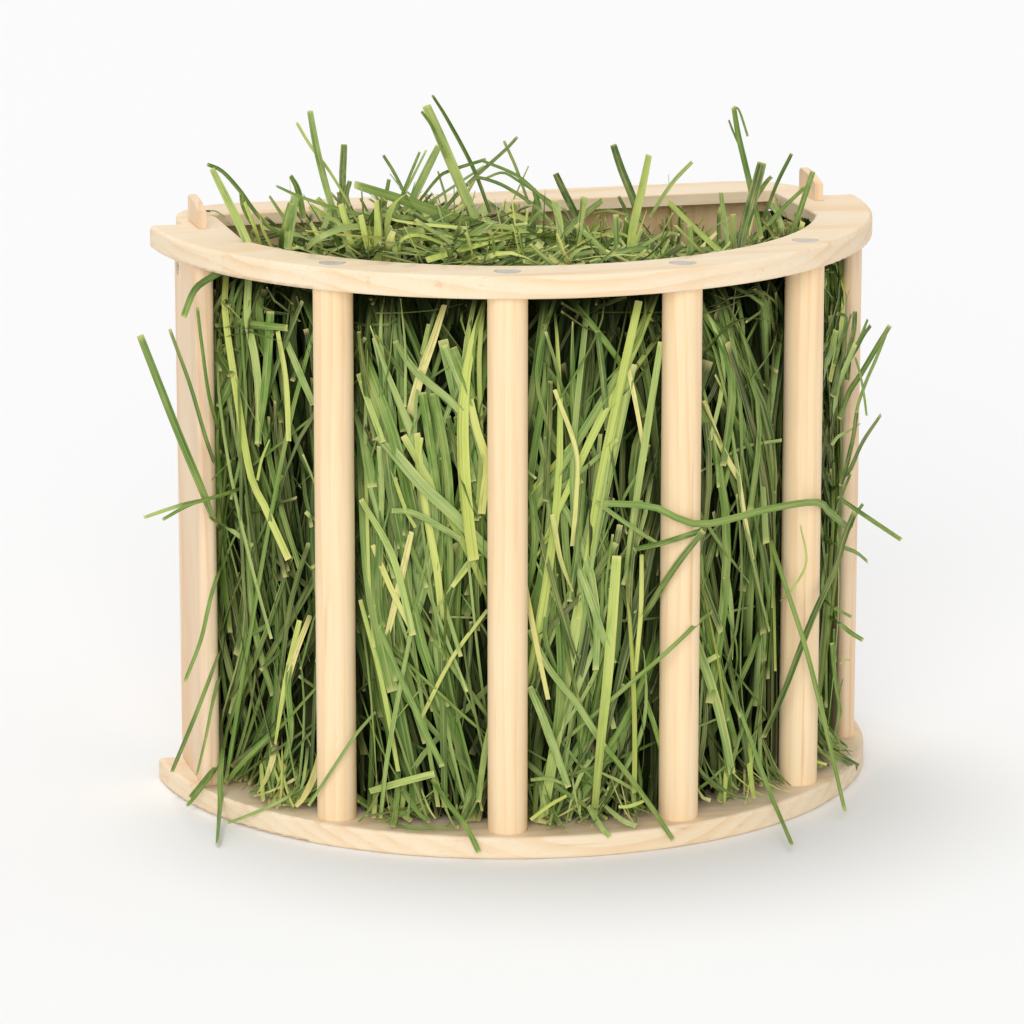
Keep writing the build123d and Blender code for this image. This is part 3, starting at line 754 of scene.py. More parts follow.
# Stalks that stick out or show in front. Width in mm, tint from 0 for the darkest leaf to 1 for
# straw, then the points that each one passes, in mm. The points are the output of another program,
# which a script shouldn't hold: functions with a few named values should take this table's place.
STALKS = (
    (3.4, 0.30, (-160, -42, 194), (-148, -54, 158), (-139, -62, 133), (-125, -26, 105)),
    (1.7, 0.22, (-150, -52, 198), (-143, -56, 176), (-138, -62, 155), (-125, -24, 130)),
    (2.8, 0.42, (-121, -39, 215), (-129, -58, 221), (-135, -60, 219), (-141, -58, 214), (-145, -55, 203)),
    (1.5, 0.30, (-139, -52, 206), (-138, -56, 190), (-136, -60, 170), (-125, -30, 147)),
    (1.8, 0.60, (-163, -60, 125), (-149, -64, 130), (-130, -34, 125), (-121, -42, 130)),
    (1.7, 0.40, (-147, -56, 56), (-141, -60, 74), (-137, -62, 92), (-125, -28, 98)),
    (1.8, 0.30, (-147, -25, 10), (-147, -72, 44), (-138, -64, 60), (-125, -27, 64)),
    (3.0, 0.20, (-143, -44, 4), (-138, -47, 11), (-131, -42, 17), (-126, -32, 20)),
    (1.5, 0.50, (-144, -62, 19), (-140, -62, 35), (-137, -62, 49), (-126, -27, 53)),
    (2.6, 0.34, (-143, -99, 2), (-135, -65, 7), (-133, -56, 16), (-127, -33, 26)),
    (1.6, 0.34, (-146, -51, 3), (-140, -53, 11), (-133, -44, 16), (-126, -30, 18)),
    (1.4, 0.50, (-135, -78, 3), (-125, -83, 8), (-114, -87, 14), (-106, -79, 17)),
    (1.4, 0.45, (-107, -101, 15), (-98, -109, 33), (-89, -106, 44), (-80, -101, 51)),
    (4.4, 0.36, (-79, -66, 254), (-57, -64, 246), (-36, -62, 238), (-19, -62, 232), (4, -66, 228),
        (24, -70, 224)),
    (1.8, 0.26, (-128, -20, 257), (-122, -20, 254), (-116, -24, 247), (-111, -30, 239),
        (-107, -38, 234), (-103, -46, 232)),
    (3.4, 0.62, (-129, -36, 258), (-125, -38, 249), (-120, -42, 237), (-117, -50, 227)),
    (2.6, 0.30, (-101, -50, 256), (-98, -50, 250), (-96, -52, 239)),
    (2.8, 0.48, (-95, -60, 283), (-92, -58, 268), (-88, -56, 253), (-84, -60, 237)),
    (1.6, 0.66, (-98, -50, 277), (-93, -52, 268), (-86, -54, 258), (-79, -60, 245)),
    (2.9, 0.20, (-77, -40, 266), (-78, -42, 255), (-79, -46, 243)),
    (1.6, 0.44, (-105, -30, 245), (-101, -34, 238), (-98, -44, 231)),
    (1.4, 0.36, (-110, -66, 255), (-100, -64, 250), (-84, -62, 244), (-63, -60, 238)),
    (1.7, 0.26, (-44, -52, 286), (-37, -50, 275), (-26, -46, 255), (-19, -46, 236)),
    (4.2, 0.60, (-48, -58, 283), (-42, -58, 269), (-35, -58, 252), (-27, -60, 232)),
    (1.3, 0.30, (-52, -66, 282), (-47, -64, 275), (-41, -62, 262)),
    (3.4, 0.46, (-36, -30, 262), (-42, -32, 252), (-49, -36, 241), (-56, -44, 232)),
    (1.6, 0.20, (-8, -46, 267), (-13, -46, 262), (-27, -48, 251), (-38, -52, 242), (-44, -58, 237)),
    (1.3, 0.52, (-11, -36, 264), (-6, -36, 253), (-1, -38, 238)),
    (1.4, 0.28, (-57, -22, 258), (-53, -24, 251), (-49, -30, 241)),
    (1.3, 0.38, (-41, -18, 258), (-46, -20, 248), (-54, -28, 235)),
    (1.4, 0.34, (-24, -50, 259), (-9, -52, 252), (3, -56, 240), (14, -60, 228)),
    (3.0, 0.14, (12, -30, 249), (15, -32, 242), (19, -38, 232)),
    (3.2, 0.18, (37, -26, 259), (40, -28, 249), (44, -32, 237), (45, -38, 228)),
    (3.8, 0.68, (40, -66, 261), (36, -70, 248), (30, -78, 233), (26, -88, 220)),
    (1.8, 0.60, (66, -40, 253), (57, -42, 245), (46, -48, 233)),
    (1.6, 0.22, (44, -10, 235), (47, -12, 228), (47, -20, 220)),
    (2.5, 0.30, (80, -50, 276), (82, -50, 265), (84, -52, 255), (86, -54, 245), (87, -60, 234),
        (86, -70, 226)),
    (1.3, 0.34, (80, -50, 276), (82, -50, 275), (84, -50, 270), (86, -50, 264)),
    (1.0, 0.26, (78, -50, 271), (80, -50, 266), (83, -51, 259)),
    (4.4, 0.13, (89, -60, 255), (85, -62, 242), (78, -72, 229), (74, -80, 221)),
    (2.4, 0.26, (109, -36, 254), (102, -38, 242), (94, -46, 229)),
    (2.6, 0.50, (102, -30, 233), (104, -34, 229), (104, -44, 222)),
    (2.6, 0.38, (117, -40, 247), (111, -44, 234), (103, -52, 220)),
    (1.8, 0.40, (117, -30, 239), (103, -36, 229), (87, -50, 220)),
    (2.4, 0.66, (50, -60, 241), (60, -70, 230), (67, -84, 222)),
    (2.6, 0.16, (2, -40, 243), (-0, -42, 235), (-3, -48, 224)),
    (2.8, 0.70, (-87, -78, 249), (-85, -80, 240), (-83, -77, 228), (-82, -78, 226)),
    (2.8, 0.72, (-80, -82, 245), (-79, -86, 237), (-76, -83, 228), (-75, -84, 226)),
    (3.4, 0.70, (-73, -80, 250), (-74, -86, 239), (-74, -85, 229), (-74, -85, 226)),
    (2.8, 0.64, (13, -70, 246), (10, -74, 237), (6, -84, 225)),
    (3.6, 0.58, (2, -64, 244), (2, -72, 235), (-3, -90, 224)),
    (2.4, 0.46, (78, -40, 240), (78, -44, 232), (77, -54, 221)),
    (0.8, 0.62, (-123, -63, 225), (-114, -70, 228), (-103, -76, 230)),
    (2.3, 0.22, (144, -60, 186), (138, -62, 178), (130, -66, 168), (123, -72, 162), (115, -84, 154)),
    (1.5, 0.46, (145, -56, 185), (139, -58, 172), (135, -60, 165), (130, -64, 156), (126, -70, 148)),
    (2.8, 0.22, (140, -62, 150), (130, -68, 140), (120, -78, 129), (122, -41, 112)),
    (2.2, 0.16, (127, -66, 194), (126, -68, 187), (123, -72, 179), (120, -78, 168)),
    (1.7, 0.30, (133, -64, 190), (129, -66, 182), (126, -68, 179), (120, -74, 175)),
    (2.9, 0.36, (2, -131, 137), (20, -141, 137), (39, -142, 129), (72, -128, 130),
        (97, -110, 127), (106, -98, 120), (122, -76, 107)),
    (2.4, 0.26, (15, -135, 119), (25, -143, 123), (40, -144, 127)),
    (1.8, 0.44, (-2, -132, 140), (11, -133, 130), (25, -131, 120)),
    (2.8, 0.20, (40, -145, 127), (29, -145, 114), (22, -134, 96), (15, -127, 80)),
    (3.1, 0.14, (124, -78, 114), (116, -88, 105), (110, -97, 97), (94, -114, 79), (83, -115, 52),
        (78, -104, 30)),
    (2.0, 0.36, (81, -100, 112), (84, -115, 93), (92, -116, 68), (105, -105, 29), (106, -125, 3)),
    (1.8, 0.36, (51, -121, 88), (40, -137, 88), (26, -147, 81), (13, -136, 65), (-13, -128, 40)),
    (2.0, 0.40, (63, -114, 51), (70, -117, 30), (75, -128, 11), (72, -162, 3)),
    (2.2, 0.34, (-61, -115, 26), (-57, -130, 19), (-53, -140, 13), (-49, -143, 4)),
    (2.6, 0.36, (4, -132, 40), (13, -135, 28), (20, -143, 17), (28, -147, 4)),
    (1.2, 0.66, (88, -118, 120), (92, -114, 104), (85, -119, 95), (85, -104, 86)),
    (2.2, 0.34, (124, -42, 62), (118, -78, 68), (124, -76, 63), (130, -74, 59)),
    (1.5, 0.30, (122, -41, 70), (114, -80, 76), (125, -74, 69)),
    (3.0, 0.16, (113, -63, 14), (111, -85, 17), (117, -88, 14), (129, -73, 5)),
    (1.6, 0.30, (129, -52, 37), (126, -56, 31), (127, -56, 24), (126, -56, 20)),
    (1.2, 0.50, (107, -74, 40), (110, -84, 28), (126, -60, 10)),
    (1.4, 0.46, (46, -121, 145), (65, -115, 152), (85, -102, 151)),
    (3.6, 0.93, (-57, -121, 216), (-61, -119, 202), (-65, -115, 187), (-68, -109, 169)),
    (4.6, 0.54, (-79, -106, 163), (-72, -113, 154), (-64, -118, 144), (-53, -123, 133), (-39, -123, 117)),
    (3.6, 0.76, (-124, -38, 218), (-126, -44, 202), (-124, -52, 175), (-120, -60, 140),
        (-116, -65, 129), (-108, -74, 108)),
    (4.2, 0.72, (17, -132, 216), (9, -133, 181), (1, -132, 139), (-5, -130, 91)),
    (3.0, 0.60, (27, -130, 199), (22, -131, 169), (16, -131, 129), (14, -128, 105)),
    (1.9, 0.95, (12, -131, 196), (17, -131, 173), (21, -129, 152)),
    (1.9, 0.84, (-16, -132, 183), (-8, -134, 159), (-8, -134, 140), (-9, -132, 121)),
    (2.6, 0.82, (-17, -132, 134), (-14, -133, 116), (-9, -133, 103)),
    (3.4, 0.66, (-84, -101, 184), (-76, -108, 161), (-68, -112, 150)),
    (3.0, 0.78, (-66, -114, 165), (-64, -117, 139), (-59, -117, 111), (-56, -116, 83)),
    (2.8, 0.62, (-85, -101, 137), (-75, -111, 116), (-68, -115, 85)),
    (2.4, 0.82, (-81, -103, 119), (-75, -110, 102), (-68, -115, 86)),
    (2.8, 0.90, (-68, -114, 126), (-72, -112, 107), (-77, -106, 81)),
    (3.2, 0.80, (-47, -123, 179), (-45, -125, 168), (-41, -125, 154), (-42, -125, 144), (-43, -124, 134)),
    (3.2, 0.50, (-56, -119, 200), (-47, -123, 175), (-38, -122, 139)),
    (2.4, 0.94, (-101, -79, 86), (-107, -78, 70), (-111, -71, 48)),
    (2.6, 0.78, (-111, -72, 199), (-109, -77, 180), (-108, -76, 156)),
    (2.2, 0.88, (47, -121, 173), (54, -121, 155), (63, -116, 140)),
    (2.4, 0.92, (61, -117, 150), (66, -115, 123), (71, -110, 105)),
    (2.4, 0.74, (-105, -78, 84), (-110, -75, 59), (-113, -68, 31)),
    (2.0, 0.70, (-85, -98, 96), (-79, -107, 66), (-73, -110, 29)),
    (4.4, 0.68, (9, -132, 116), (5, -134, 71), (2, -134, 43), (-1, -135, 13)),
    (2.2, 0.88, (-28, -127, 115), (-23, -131, 84), (-18, -131, 60)),
    (1.8, 0.80, (-40, -122, 95), (-54, -121, 76), (-65, -115, 51)),
    (1.9, 0.30, (115, -84, 122), (126, -76, 114), (140, -72, 104), (147, -70, 99)),
    (1.6, 0.28, (129, -74, 116), (125, -76, 112), (122, -80, 108)),
    (2.4, 0.42, (119, -51, 98), (113, -84, 103), (120, -78, 99), (126, -75, 96), (132, -72, 91)),
    (2.1, 0.18, (135, -62, 187), (131, -64, 183), (128, -66, 179), (123, -72, 175)),
    (2.6, 0.12, (124, -70, 194), (121, -72, 187), (119, -76, 180), (114, -84, 173), (108, -96, 166)),
    (2.0, 0.26, (118, -70, 194), (121, -72, 193), (120, -74, 190), (116, -80, 185), (111, -88, 177)),
    (0.8, 0.30, (128, -56, 201), (125, -58, 195), (121, -62, 191), (117, -70, 187), (109, -84, 184)),
    (2.8, 0.48, (115, -78, 189), (111, -84, 182), (105, -96, 179), (116, -59, 163)),
    (1.1, 0.36, (126, -70, 176), (129, -68, 168), (131, -68, 158), (132, -68, 151)),
    (2.8, 0.56, (123, -78, 183), (118, -82, 175), (114, -84, 168), (112, -86, 159),
        (124, -42, 137), (119, -52, 128)),
    (1.6, 0.62, (128, -72, 149), (123, -74, 147), (116, -80, 146), (110, -90, 145)),
    (2.0, 0.14, (125, -76, 155), (123, -78, 145), (119, -82, 134), (114, -90, 128)),
    (2.0, 0.16, (122, -78, 130), (117, -82, 122), (112, -90, 117)),
    (2.6, 0.40, (118, -55, 69), (118, -60, 56), (122, -51, 40), (124, -42, 24)),
    (2.2, 0.34, (114, -82, 61), (115, -82, 50), (117, -80, 40), (118, -80, 31), (113, -86, 17)),
    (1.0, 0.30, (117, -76, 65), (117, -76, 60), (118, -76, 51)),
    (0.8, 0.70, (121, -72, 49), (124, -70, 50), (127, -68, 49)),
    (2.4, 0.66, (115, -63, 36), (118, -61, 24), (122, -54, 15), (125, -42, 5)),
    (1.0, 0.40, (115, -84, 24), (117, -84, 20), (118, -84, 16)),
    (4.0, 0.46, (-100, -56, 249), (-103, -60, 240), (-106, -66, 230)),
    (2.0, 0.40, (-60, -44, 252), (-62, -46, 244), (-64, -52, 236)),
    (2.2, 0.20, (-77, -50, 253), (-79, -52, 247), (-78, -60, 241)),
    (1.6, 0.28, (-53, -58, 243), (-43, -54, 253), (-38, -54, 256), (-23, -54, 260)),
    (1.5, 0.22, (-30, -52, 250), (-26, -50, 252), (-21, -50, 251), (-14, -52, 248),
        (-4, -56, 241), (1, -66, 235)),
    (1.2, 0.46, (-21, -46, 251), (-14, -46, 253), (-7, -46, 249), (-1, -46, 245), (6, -48, 240),
        (9, -56, 234)),
    (1.0, 0.44, (-38, -36, 253), (-36, -40, 243), (-37, -48, 235)),
    (2.0, 0.62, (-23, -50, 241), (-25, -60, 233)),
    (3.2, 0.84, (-70, -92, 240), (-72, -94, 235), (-71, -87, 229), (-71, -87, 226)),
    (1.8, 0.22, (95, -54, 248), (92, -56, 246), (86, -62, 241)),
    (2.8, 0.52, (24, -56, 242), (14, -62, 237), (4, -72, 232)),
    (1.2, 0.60, (22, -50, 236), (28, -52, 237), (34, -58, 236)),
    (2.4, 0.56, (-99, -57, 226), (-98, -92, 239), (-84, -84, 241), (-73, -80, 238)),
    (1.8, 0.62, (-94, -70, 244), (-88, -76, 242), (-85, -86, 236), (-81, -76, 229)),
    (2.0, 0.60, (-36, -80, 234), (-26, -76, 237), (-15, -76, 235), (-7, -82, 230)),
    (1.4, 0.70, (-67, -92, 229), (-68, -98, 237), (-61, -98, 239), (-49, -94, 234)),
    (1.6, 0.64, (-36, -104, 229), (-21, -98, 231), (-5, -92, 230), (9, -92, 226)),
    (1.2, 0.75, (-5, -100, 228), (8, -88, 232), (23, -80, 233), (30, -80, 230)),
    (1.4, 0.52, (7, -112, 229), (30, -90, 229), (43, -80, 232), (49, -80, 231)),
    (0.9, 0.08, (-123, 24, 231), (-121, 21, 231), (-119, 20, 231)),
    (0.6, 0.40, (-120, 21, 231), (-117, 19, 231), (-116, 5, 231)),
    (2.4, 0.30, (-0, -40, 245), (1, -44, 239), (0, -52, 234)),
    (2.2, 0.34, (22, -129, 56), (27, -131, 39), (31, -130, 19)),
    (3.1, 0.50, (-25, -129, 65), (-19, -133, 49), (-11, -135, 25)),
    (2.2, 0.64, (-24, -129, 64), (-18, -132, 44), (-11, -134, 25)),
    (2.2, 0.74, (-115, -30, 243), (-113, -36, 236), (-110, -36, 227)),
    (1.8, 0.72, (-111, -34, 239), (-110, -36, 238), (-110, -40, 234), (-107, -42, 227)),
    (2.4, 0.24, (-115, -24, 246), (-115, -28, 241), (-113, -34, 235)),
    (3.2, 0.42, (-103, -60, 247), (-106, -64, 239), (-104, -47, 227)),
    (2.0, 0.66, (-95, -60, 239), (-94, -68, 235), (-92, -66, 228)),
    (2.4, 0.50, (-86, -56, 244), (-90, -64, 239), (-94, -62, 228)),
    (2.2, 0.58, (-88, -40, 245), (-84, -44, 241), (-80, -50, 239), (-77, -58, 235)),
    (1.8, 0.76, (-58, -60, 241), (-54, -60, 244), (-50, -62, 241), (-50, -70, 236)),
    (1.6, 0.86, (-52, -60, 237), (-48, -60, 241), (-52, -70, 236), (-56, -80, 232)),
    (2.6, 0.82, (-12, -40, 240), (-10, -44, 236), (-4, -50, 234)),
    (2.0, 0.88, (-31, -60, 233), (-26, -60, 236), (-24, -68, 232)),
    (2.4, 0.64, (-69, -84, 237), (-69, -92, 233), (-67, -91, 227)),
    (2.2, 0.56, (-50, -70, 240), (-46, -80, 234), (-41, -101, 230)),
    (2.6, 0.42, (-57, -64, 243), (-47, -76, 236), (-36, -104, 229)),
    (3.5, 0.72, (13, -131, 106), (15, -133, 70), (16, -133, 42), (16, -133, 20)),
    (1.9, 0.80, (20, -129, 115), (19, -132, 94), (17, -132, 69)),
    (3.0, 0.52, (-7, -131, 115), (-2, -134, 100), (3, -134, 85), (8, -132, 73)),
    (3.1, 0.50, (-25, -129, 88), (-18, -133, 73), (-7, -134, 58), (4, -133, 40)),
    (2.4, 0.50, (-3, -136, 17), (-1, -146, 12), (2, -149, 8)),
    (2.0, 0.56, (3, -136, 17), (8, -144, 13), (13, -147, 11)),
    (1.8, 0.60, (3, -133, 29), (9, -135, 26), (15, -134, 22)),
    (1.5, 0.70, (8, -140, 17), (13, -140, 17), (19, -140, 19)),
    (1.6, 0.74, (-27, -138, 14), (-20, -138, 19), (-12, -136, 22)),
    (1.8, 0.50, (-25, -131, 28), (-19, -134, 29), (-11, -135, 26)),
    (1.4, 0.50, (-71, -110, 217), (-70, -113, 198), (-70, -112, 175)),
    (1.8, 0.62, (-62, -117, 208), (-63, -117, 203), (-64, -115, 196)),
    (3.1, 0.50, (-73, -108, 200), (-68, -115, 191), (-62, -119, 185), (-54, -122, 178), (-45, -123, 168)),
    (3.6, 0.34, (-64, -115, 181), (-61, -117, 159), (-58, -119, 136)),
    (3.8, 0.36, (-60, -117, 181), (-56, -121, 153), (-54, -119, 129)),
    (3.2, 0.30, (-52, -120, 172), (-46, -124, 147)),
    (3.4, 0.38, (-53, -120, 199), (-50, -122, 190), (-46, -123, 179)),
    (2.6, 0.62, (-85, -98, 186), (-82, -105, 174), (-78, -109, 161)),
    (1.6, 0.68, (-76, -108, 154), (-71, -114, 136), (-67, -115, 128)),
    (2.6, 0.55, (-79, -107, 159), (-78, -107, 142), (-78, -105, 127)),
    (2.4, 0.46, (-75, -110, 134), (-68, -116, 134), (-57, -121, 128), (-51, -122, 124)),
    (3.2, 0.60, (-119, -55, 218), (-120, -57, 202), (-118, -61, 186), (-117, -63, 170), (-117, -60, 152)),
    (3.2, 0.52, (-108, -75, 195), (-105, -82, 185), (-100, -85, 172)),
    (3.6, 0.34, (-113, -67, 206), (-115, -67, 178), (-117, -59, 151)),
    (3.2, 0.36, (-128, -33, 188), (-129, -37, 165), (-128, -35, 139)),
    (2.0, 0.70, (-126, -39, 188), (-127, -39, 166), (-127, -37, 145)),
    (1.4, 0.72, (-114, -68, 155), (-117, -67, 147), (-118, -63, 138)),
    (1.5, 0.60, (-122, -49, 146), (-127, -45, 140), (-136, -60, 138)),
    (2.2, 0.50, (-138, -64, 125), (-126, -48, 115), (-119, -57, 110)),
    # Seven wide near-black blades standing upright at the right rear of the mouth: a dark screen of painted
    # shade where only shadow shows there
    (5.2, 0.04, (117, 24, 206), (117, 24, 213), (117, 24, 220)),
    (5.6, 0.00, (119, 24, 206), (120, 24, 213), (120, 24, 220)),
    (5.6, 0.10, (122, 24, 206), (122, 24, 212), (122, 24, 220)),
    (5.8, 0.00, (123, 20, 206), (124, 20, 213), (124, 20, 220)),
    (5.6, 0.06, (126, 20, 206), (126, 20, 213), (126, 20, 220)),
    (5.4, 0.00, (129, 20, 206), (129, 20, 213), (129, 20, 220)),
    (5.0, 0.04, (131, 20, 206), (132, 20, 213), (131, 20, 220)),
    (2.8, 0.62, (-83, -104, 20), (-73, -115, 26), (-61, -120, 30)),
    (2.0, 0.46, (-68, -113, 87), (-74, -114, 59), (-78, -112, 34), (-80, -109, 10)),
    (1.5, 0.24, (-87, -99, 15), (-80, -108, 11), (-73, -127, 11), (-54, -131, 11)),
    (2.2, 0.30, (-89, -96, 18), (-81, -98, 12), (-74, -105, 11)),
    (2.4, 0.40, (-80, -105, 89), (-74, -113, 71), (-65, -119, 49), (-58, -121, 33)),
    (2.4, 0.44, (-36, -127, 64), (-42, -127, 42), (-45, -126, 19)),
    (3.0, 0.14, (-85, -100, 203), (-83, -103, 180), (-80, -105, 161)),
    (2.8, 0.16, (-55, -119, 172), (-51, -123, 151), (-44, -124, 132)),
    (2.6, 0.12, (-17, -130, 186), (-18, -132, 167), (-19, -131, 139)),
    (2.8, 0.20, (-4, -131, 151), (-7, -133, 123), (-10, -132, 99)),
    (2.4, 0.10, (19, -130, 137), (15, -132, 114), (14, -131, 90)),
    (2.6, 0.18, (1, -131, 205), (3, -133, 186), (5, -132, 166)),
    (1.6, 0.34, (-156, -62, 124), (-145, -64, 130), (-132, -60, 132), (-120, -48, 132)),
)


def through(points, rings):
    """A smooth line with evenly spaced places through the given points."""
    points = np.array(points, float)
    padded = np.vstack([2 * points[0] - points[1], points, 2 * points[-1] - points[-2]])
    fine = []
    for i in range(len(points) - 1):
        a, b, c, d = padded[i : i + 4]
        t = np.linspace(0, 1, 20, endpoint=i == len(points) - 2)[:, None]
        straight = 2 * b + (c - a) * t
        bend = (2 * a - 5 * b + 4 * c - d) * t**2
        swerve = (3 * b - a - 3 * c + d) * t**3
        fine.append(0.5 * (straight + bend + swerve))
    fine = np.vstack(fine)
    gone = np.concatenate([[0], np.cumsum(np.linalg.norm(np.diff(fine, axis=0), axis=1))])
    want = np.linspace(0, gone[-1], rings)
    return np.stack([np.interp(want, gone, fine[:, i]) for i in range(3)], -1)


def long_stalks(name, blade, rings, rng):
    """The stalks that stick out of the rack or show in front, each along its own line, and a near-black
    screen of blades that is painted shade at the right rear of the mouth.
    """
    above_hay, out_of_rack = 0.212, 0.142
    spines = np.stack([through(s[2:], rings) for s in STALKS]) * MM
    count = len(spines)
    middle = spines.mean(1)
    clear = (middle[:, 2] > above_hay) | (np.hypot(middle[:, 0], middle[:, 1]) > out_of_rack)
    outward = np.where(clear, 0.15, 0.8)
    facing = np.stack([middle[:, 0] * outward - 0.02, middle[:, 1] - 0.06, np.full(count, 0.02)], -1)
    facing = np.broadcast_to(facing[:, None], spines.shape)
    return lay_blades(
        name, blade, spines, facing,
        np.array([s[0] for s in STALKS]) * MM, np.array([s[1] for s in STALKS]),
        rng.choice([0.05, 0.2], count), rng.normal(0, 0.3, count), rng.normal(0, 0.5, count),
    )


# ---------------------------------------------------------------- operators


class HAYBOX_OT_boards(bpy.types.Operator):
    """Finishes the base plate, the top ring and the back rail as one pale board wood"""

    bl_idname = "haybox.boards"
    bl_label = "Finish plates and rail"

    def execute(self, context):
        wood = settings("wood")
        pith = (0.05, 0.03, 0.115)
        paint(BOARDS, wood_material("pale board", wood.board, wood.board_ring, pith, wander=0.02))
        return {"FINISHED"}


class HAYBOX_OT_panel(bpy.types.Operator):
    """Finishes the back panel with upright grain"""

    bl_idname = "haybox.back_panel"
    bl_label = "Finish back panel"

    def execute(self, context):
        wood = settings("wood")
        pith = (0, -0.02, 0.06)
        paint(PANEL, wood_material("panel board", wood.panel, wood.panel_ring, pith, UPRIGHT))
        return {"FINISHED"}


class HAYBOX_OT_uprights(bpy.types.Operator):
    """Finishes the dowels, the side posts and the lugs with upright grain"""

    bl_idname = "haybox.uprights"
    bl_label = "Finish uprights"

    def execute(self, context):
        wood = settings("wood")
        dowel = wood_material(
            "pale dowel", wood.dowel, wood.dowel_ring, (0, 0.075, -0.21), UPRIGHT, 4.3 * MM, 0.014
        )
        paint(DOWELS, dowel)
        post = wood_material(
            "pale post", wood.post, wood.post_ring, (0, 0.04, 0.21), UPRIGHT, 3.6 * MM, 0.016, 0.5
        )
        paint(POSTS + LUGS, post)
        return {"FINISHED"}


class HAYBOX_OT_screws(bpy.types.Operator):
    """Finishes all the screws as dull zinc"""

    bl_idname = "haybox.screws"
    bl_label = "Finish screws"

    def execute(self, context):
        paint(SCREWS, screw_material())
        return {"FINISHED"}


class HAYBOX_OT_hay_core(bpy.types.Operator):
    """Models the dark packed mass that the blades stand against; its near-black finish is painted shade"""

    bl_idname = "haybox.hay_core"
    bl_label = "Pack hay core"

    def execute(self, context):
        low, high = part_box("hay_bed")
        height = high.z - low.z - 0.008
        clear_selection()
        bpy.ops.mesh.primitive_cylinder_add(
            vertices=64, radius=CORE_RADIUS, depth=height, location=(0, 0, low.z + 0.001 + height / 2)
        )
        core = context.object
        bpy.ops.object.mode_set(mode="EDIT")
        bpy.ops.mesh.select_all(action="SELECT")
        bpy.ops.mesh.bisect(plane_co=(0, 0, 0), plane_no=(0, 1, 0), use_fill=True, clear_outer=True)
        select_points(core, lambda co: co.y > -0.0001)
        bpy.ops.mesh.extrude_region_move(TRANSFORM_OT_translate={"value": (0, high.y - 0.003, 0)})
        bpy.ops.mesh.select_all(action="SELECT")
        bpy.ops.mesh.normals_make_consistent(inside=False)
        bpy.ops.object.mode_set(mode="OBJECT")
        apply_modifier(core, "REMESH", "even faces", mode="VOXEL", voxel_size=0.003)
        lumps = bpy.data.textures.new("lumps", "CLOUDS")
        lumps.noise_scale = 0.018
        apply_modifier(
            core, "DISPLACE", "lumps",
            texture=lumps, texture_coords="LOCAL", strength=0.008, mid_level=0.62,
        )
        bpy.ops.object.shade_smooth()
        finish_piece(core, "hay_core", core_material(), "green_hay", "hay_bed")
        return {"FINISHED"}


class HAYBOX_OT_packed_hay(bpy.types.Operator):
    """Packs upright blades behind the dowels, in a left and a right half"""

    bl_idname = "haybox.packed_hay"
    bl_label = "Pack upright blades"

    def execute(self, context):
        hay = settings("hay")
        blade = model_blade("blade", 9)
        for order, (name, side) in enumerate((("packed_hay_left", -1), ("packed_hay_right", 1))):
            rng = np.random.default_rng(hay.seed + order)
            piece = packed_blades(name, blade, side, hay.packed_count, rng)
            finish_piece(piece, name, blade_material(), "green_hay", "hay_bed")
        rng = np.random.default_rng(hay.seed + 5)
        piece = foot_blades("splayed_hay", blade, hay.foot_count, rng)
        finish_piece(piece, "splayed_hay", blade_material(), "green_hay", "hay_bed")
        bpy.data.objects.remove(blade)
        return {"FINISHED"}


class HAYBOX_OT_heaped_hay(bpy.types.Operator):
    """Heaps short blades across the mouth"""

    bl_idname = "haybox.heaped_hay"
    bl_label = "Heap blades in the mouth"

    def execute(self, context):
        hay = settings("hay")
        blade = model_blade("blade", 7)
        rng = np.random.default_rng(hay.seed + 10)
        piece = heaped_blades("heaped_hay", blade, hay.heap_count, rng)
        finish_piece(piece, "heaped_hay", blade_material(), "green_hay", "hay_bed", "hay_tufts")
        bpy.data.objects.remove(blade)
        return {"FINISHED"}


class HAYBOX_OT_long_stalks(bpy.types.Operator):
    """Lays the long stalks that stick out of the rack"""

    bl_idname = "haybox.long_stalks"
    bl_label = "Lay long stalks"

    def execute(self, context):
        hay = settings("hay")
        rings = 21
        blade = model_blade("blade", rings - 1)
        rng = np.random.default_rng(hay.seed + 20)
        piece = long_stalks("long_stalks", blade, rings, rng)
        finish_piece(piece, "long_stalks", blade_material(), "green_hay", "hay_tufts")
        bpy.data.objects.remove(blade)
        return {"FINISHED"}


BACKDROP = shade(250, 250, 251)
AIM_HEIGHT = 0.115  # the camera looks at the middle of the rack's height
SENSOR_WIDTH = 36
CAMERA_SHIFT = (0.00423, -0.02697)  # moves the picture sideways and up or down


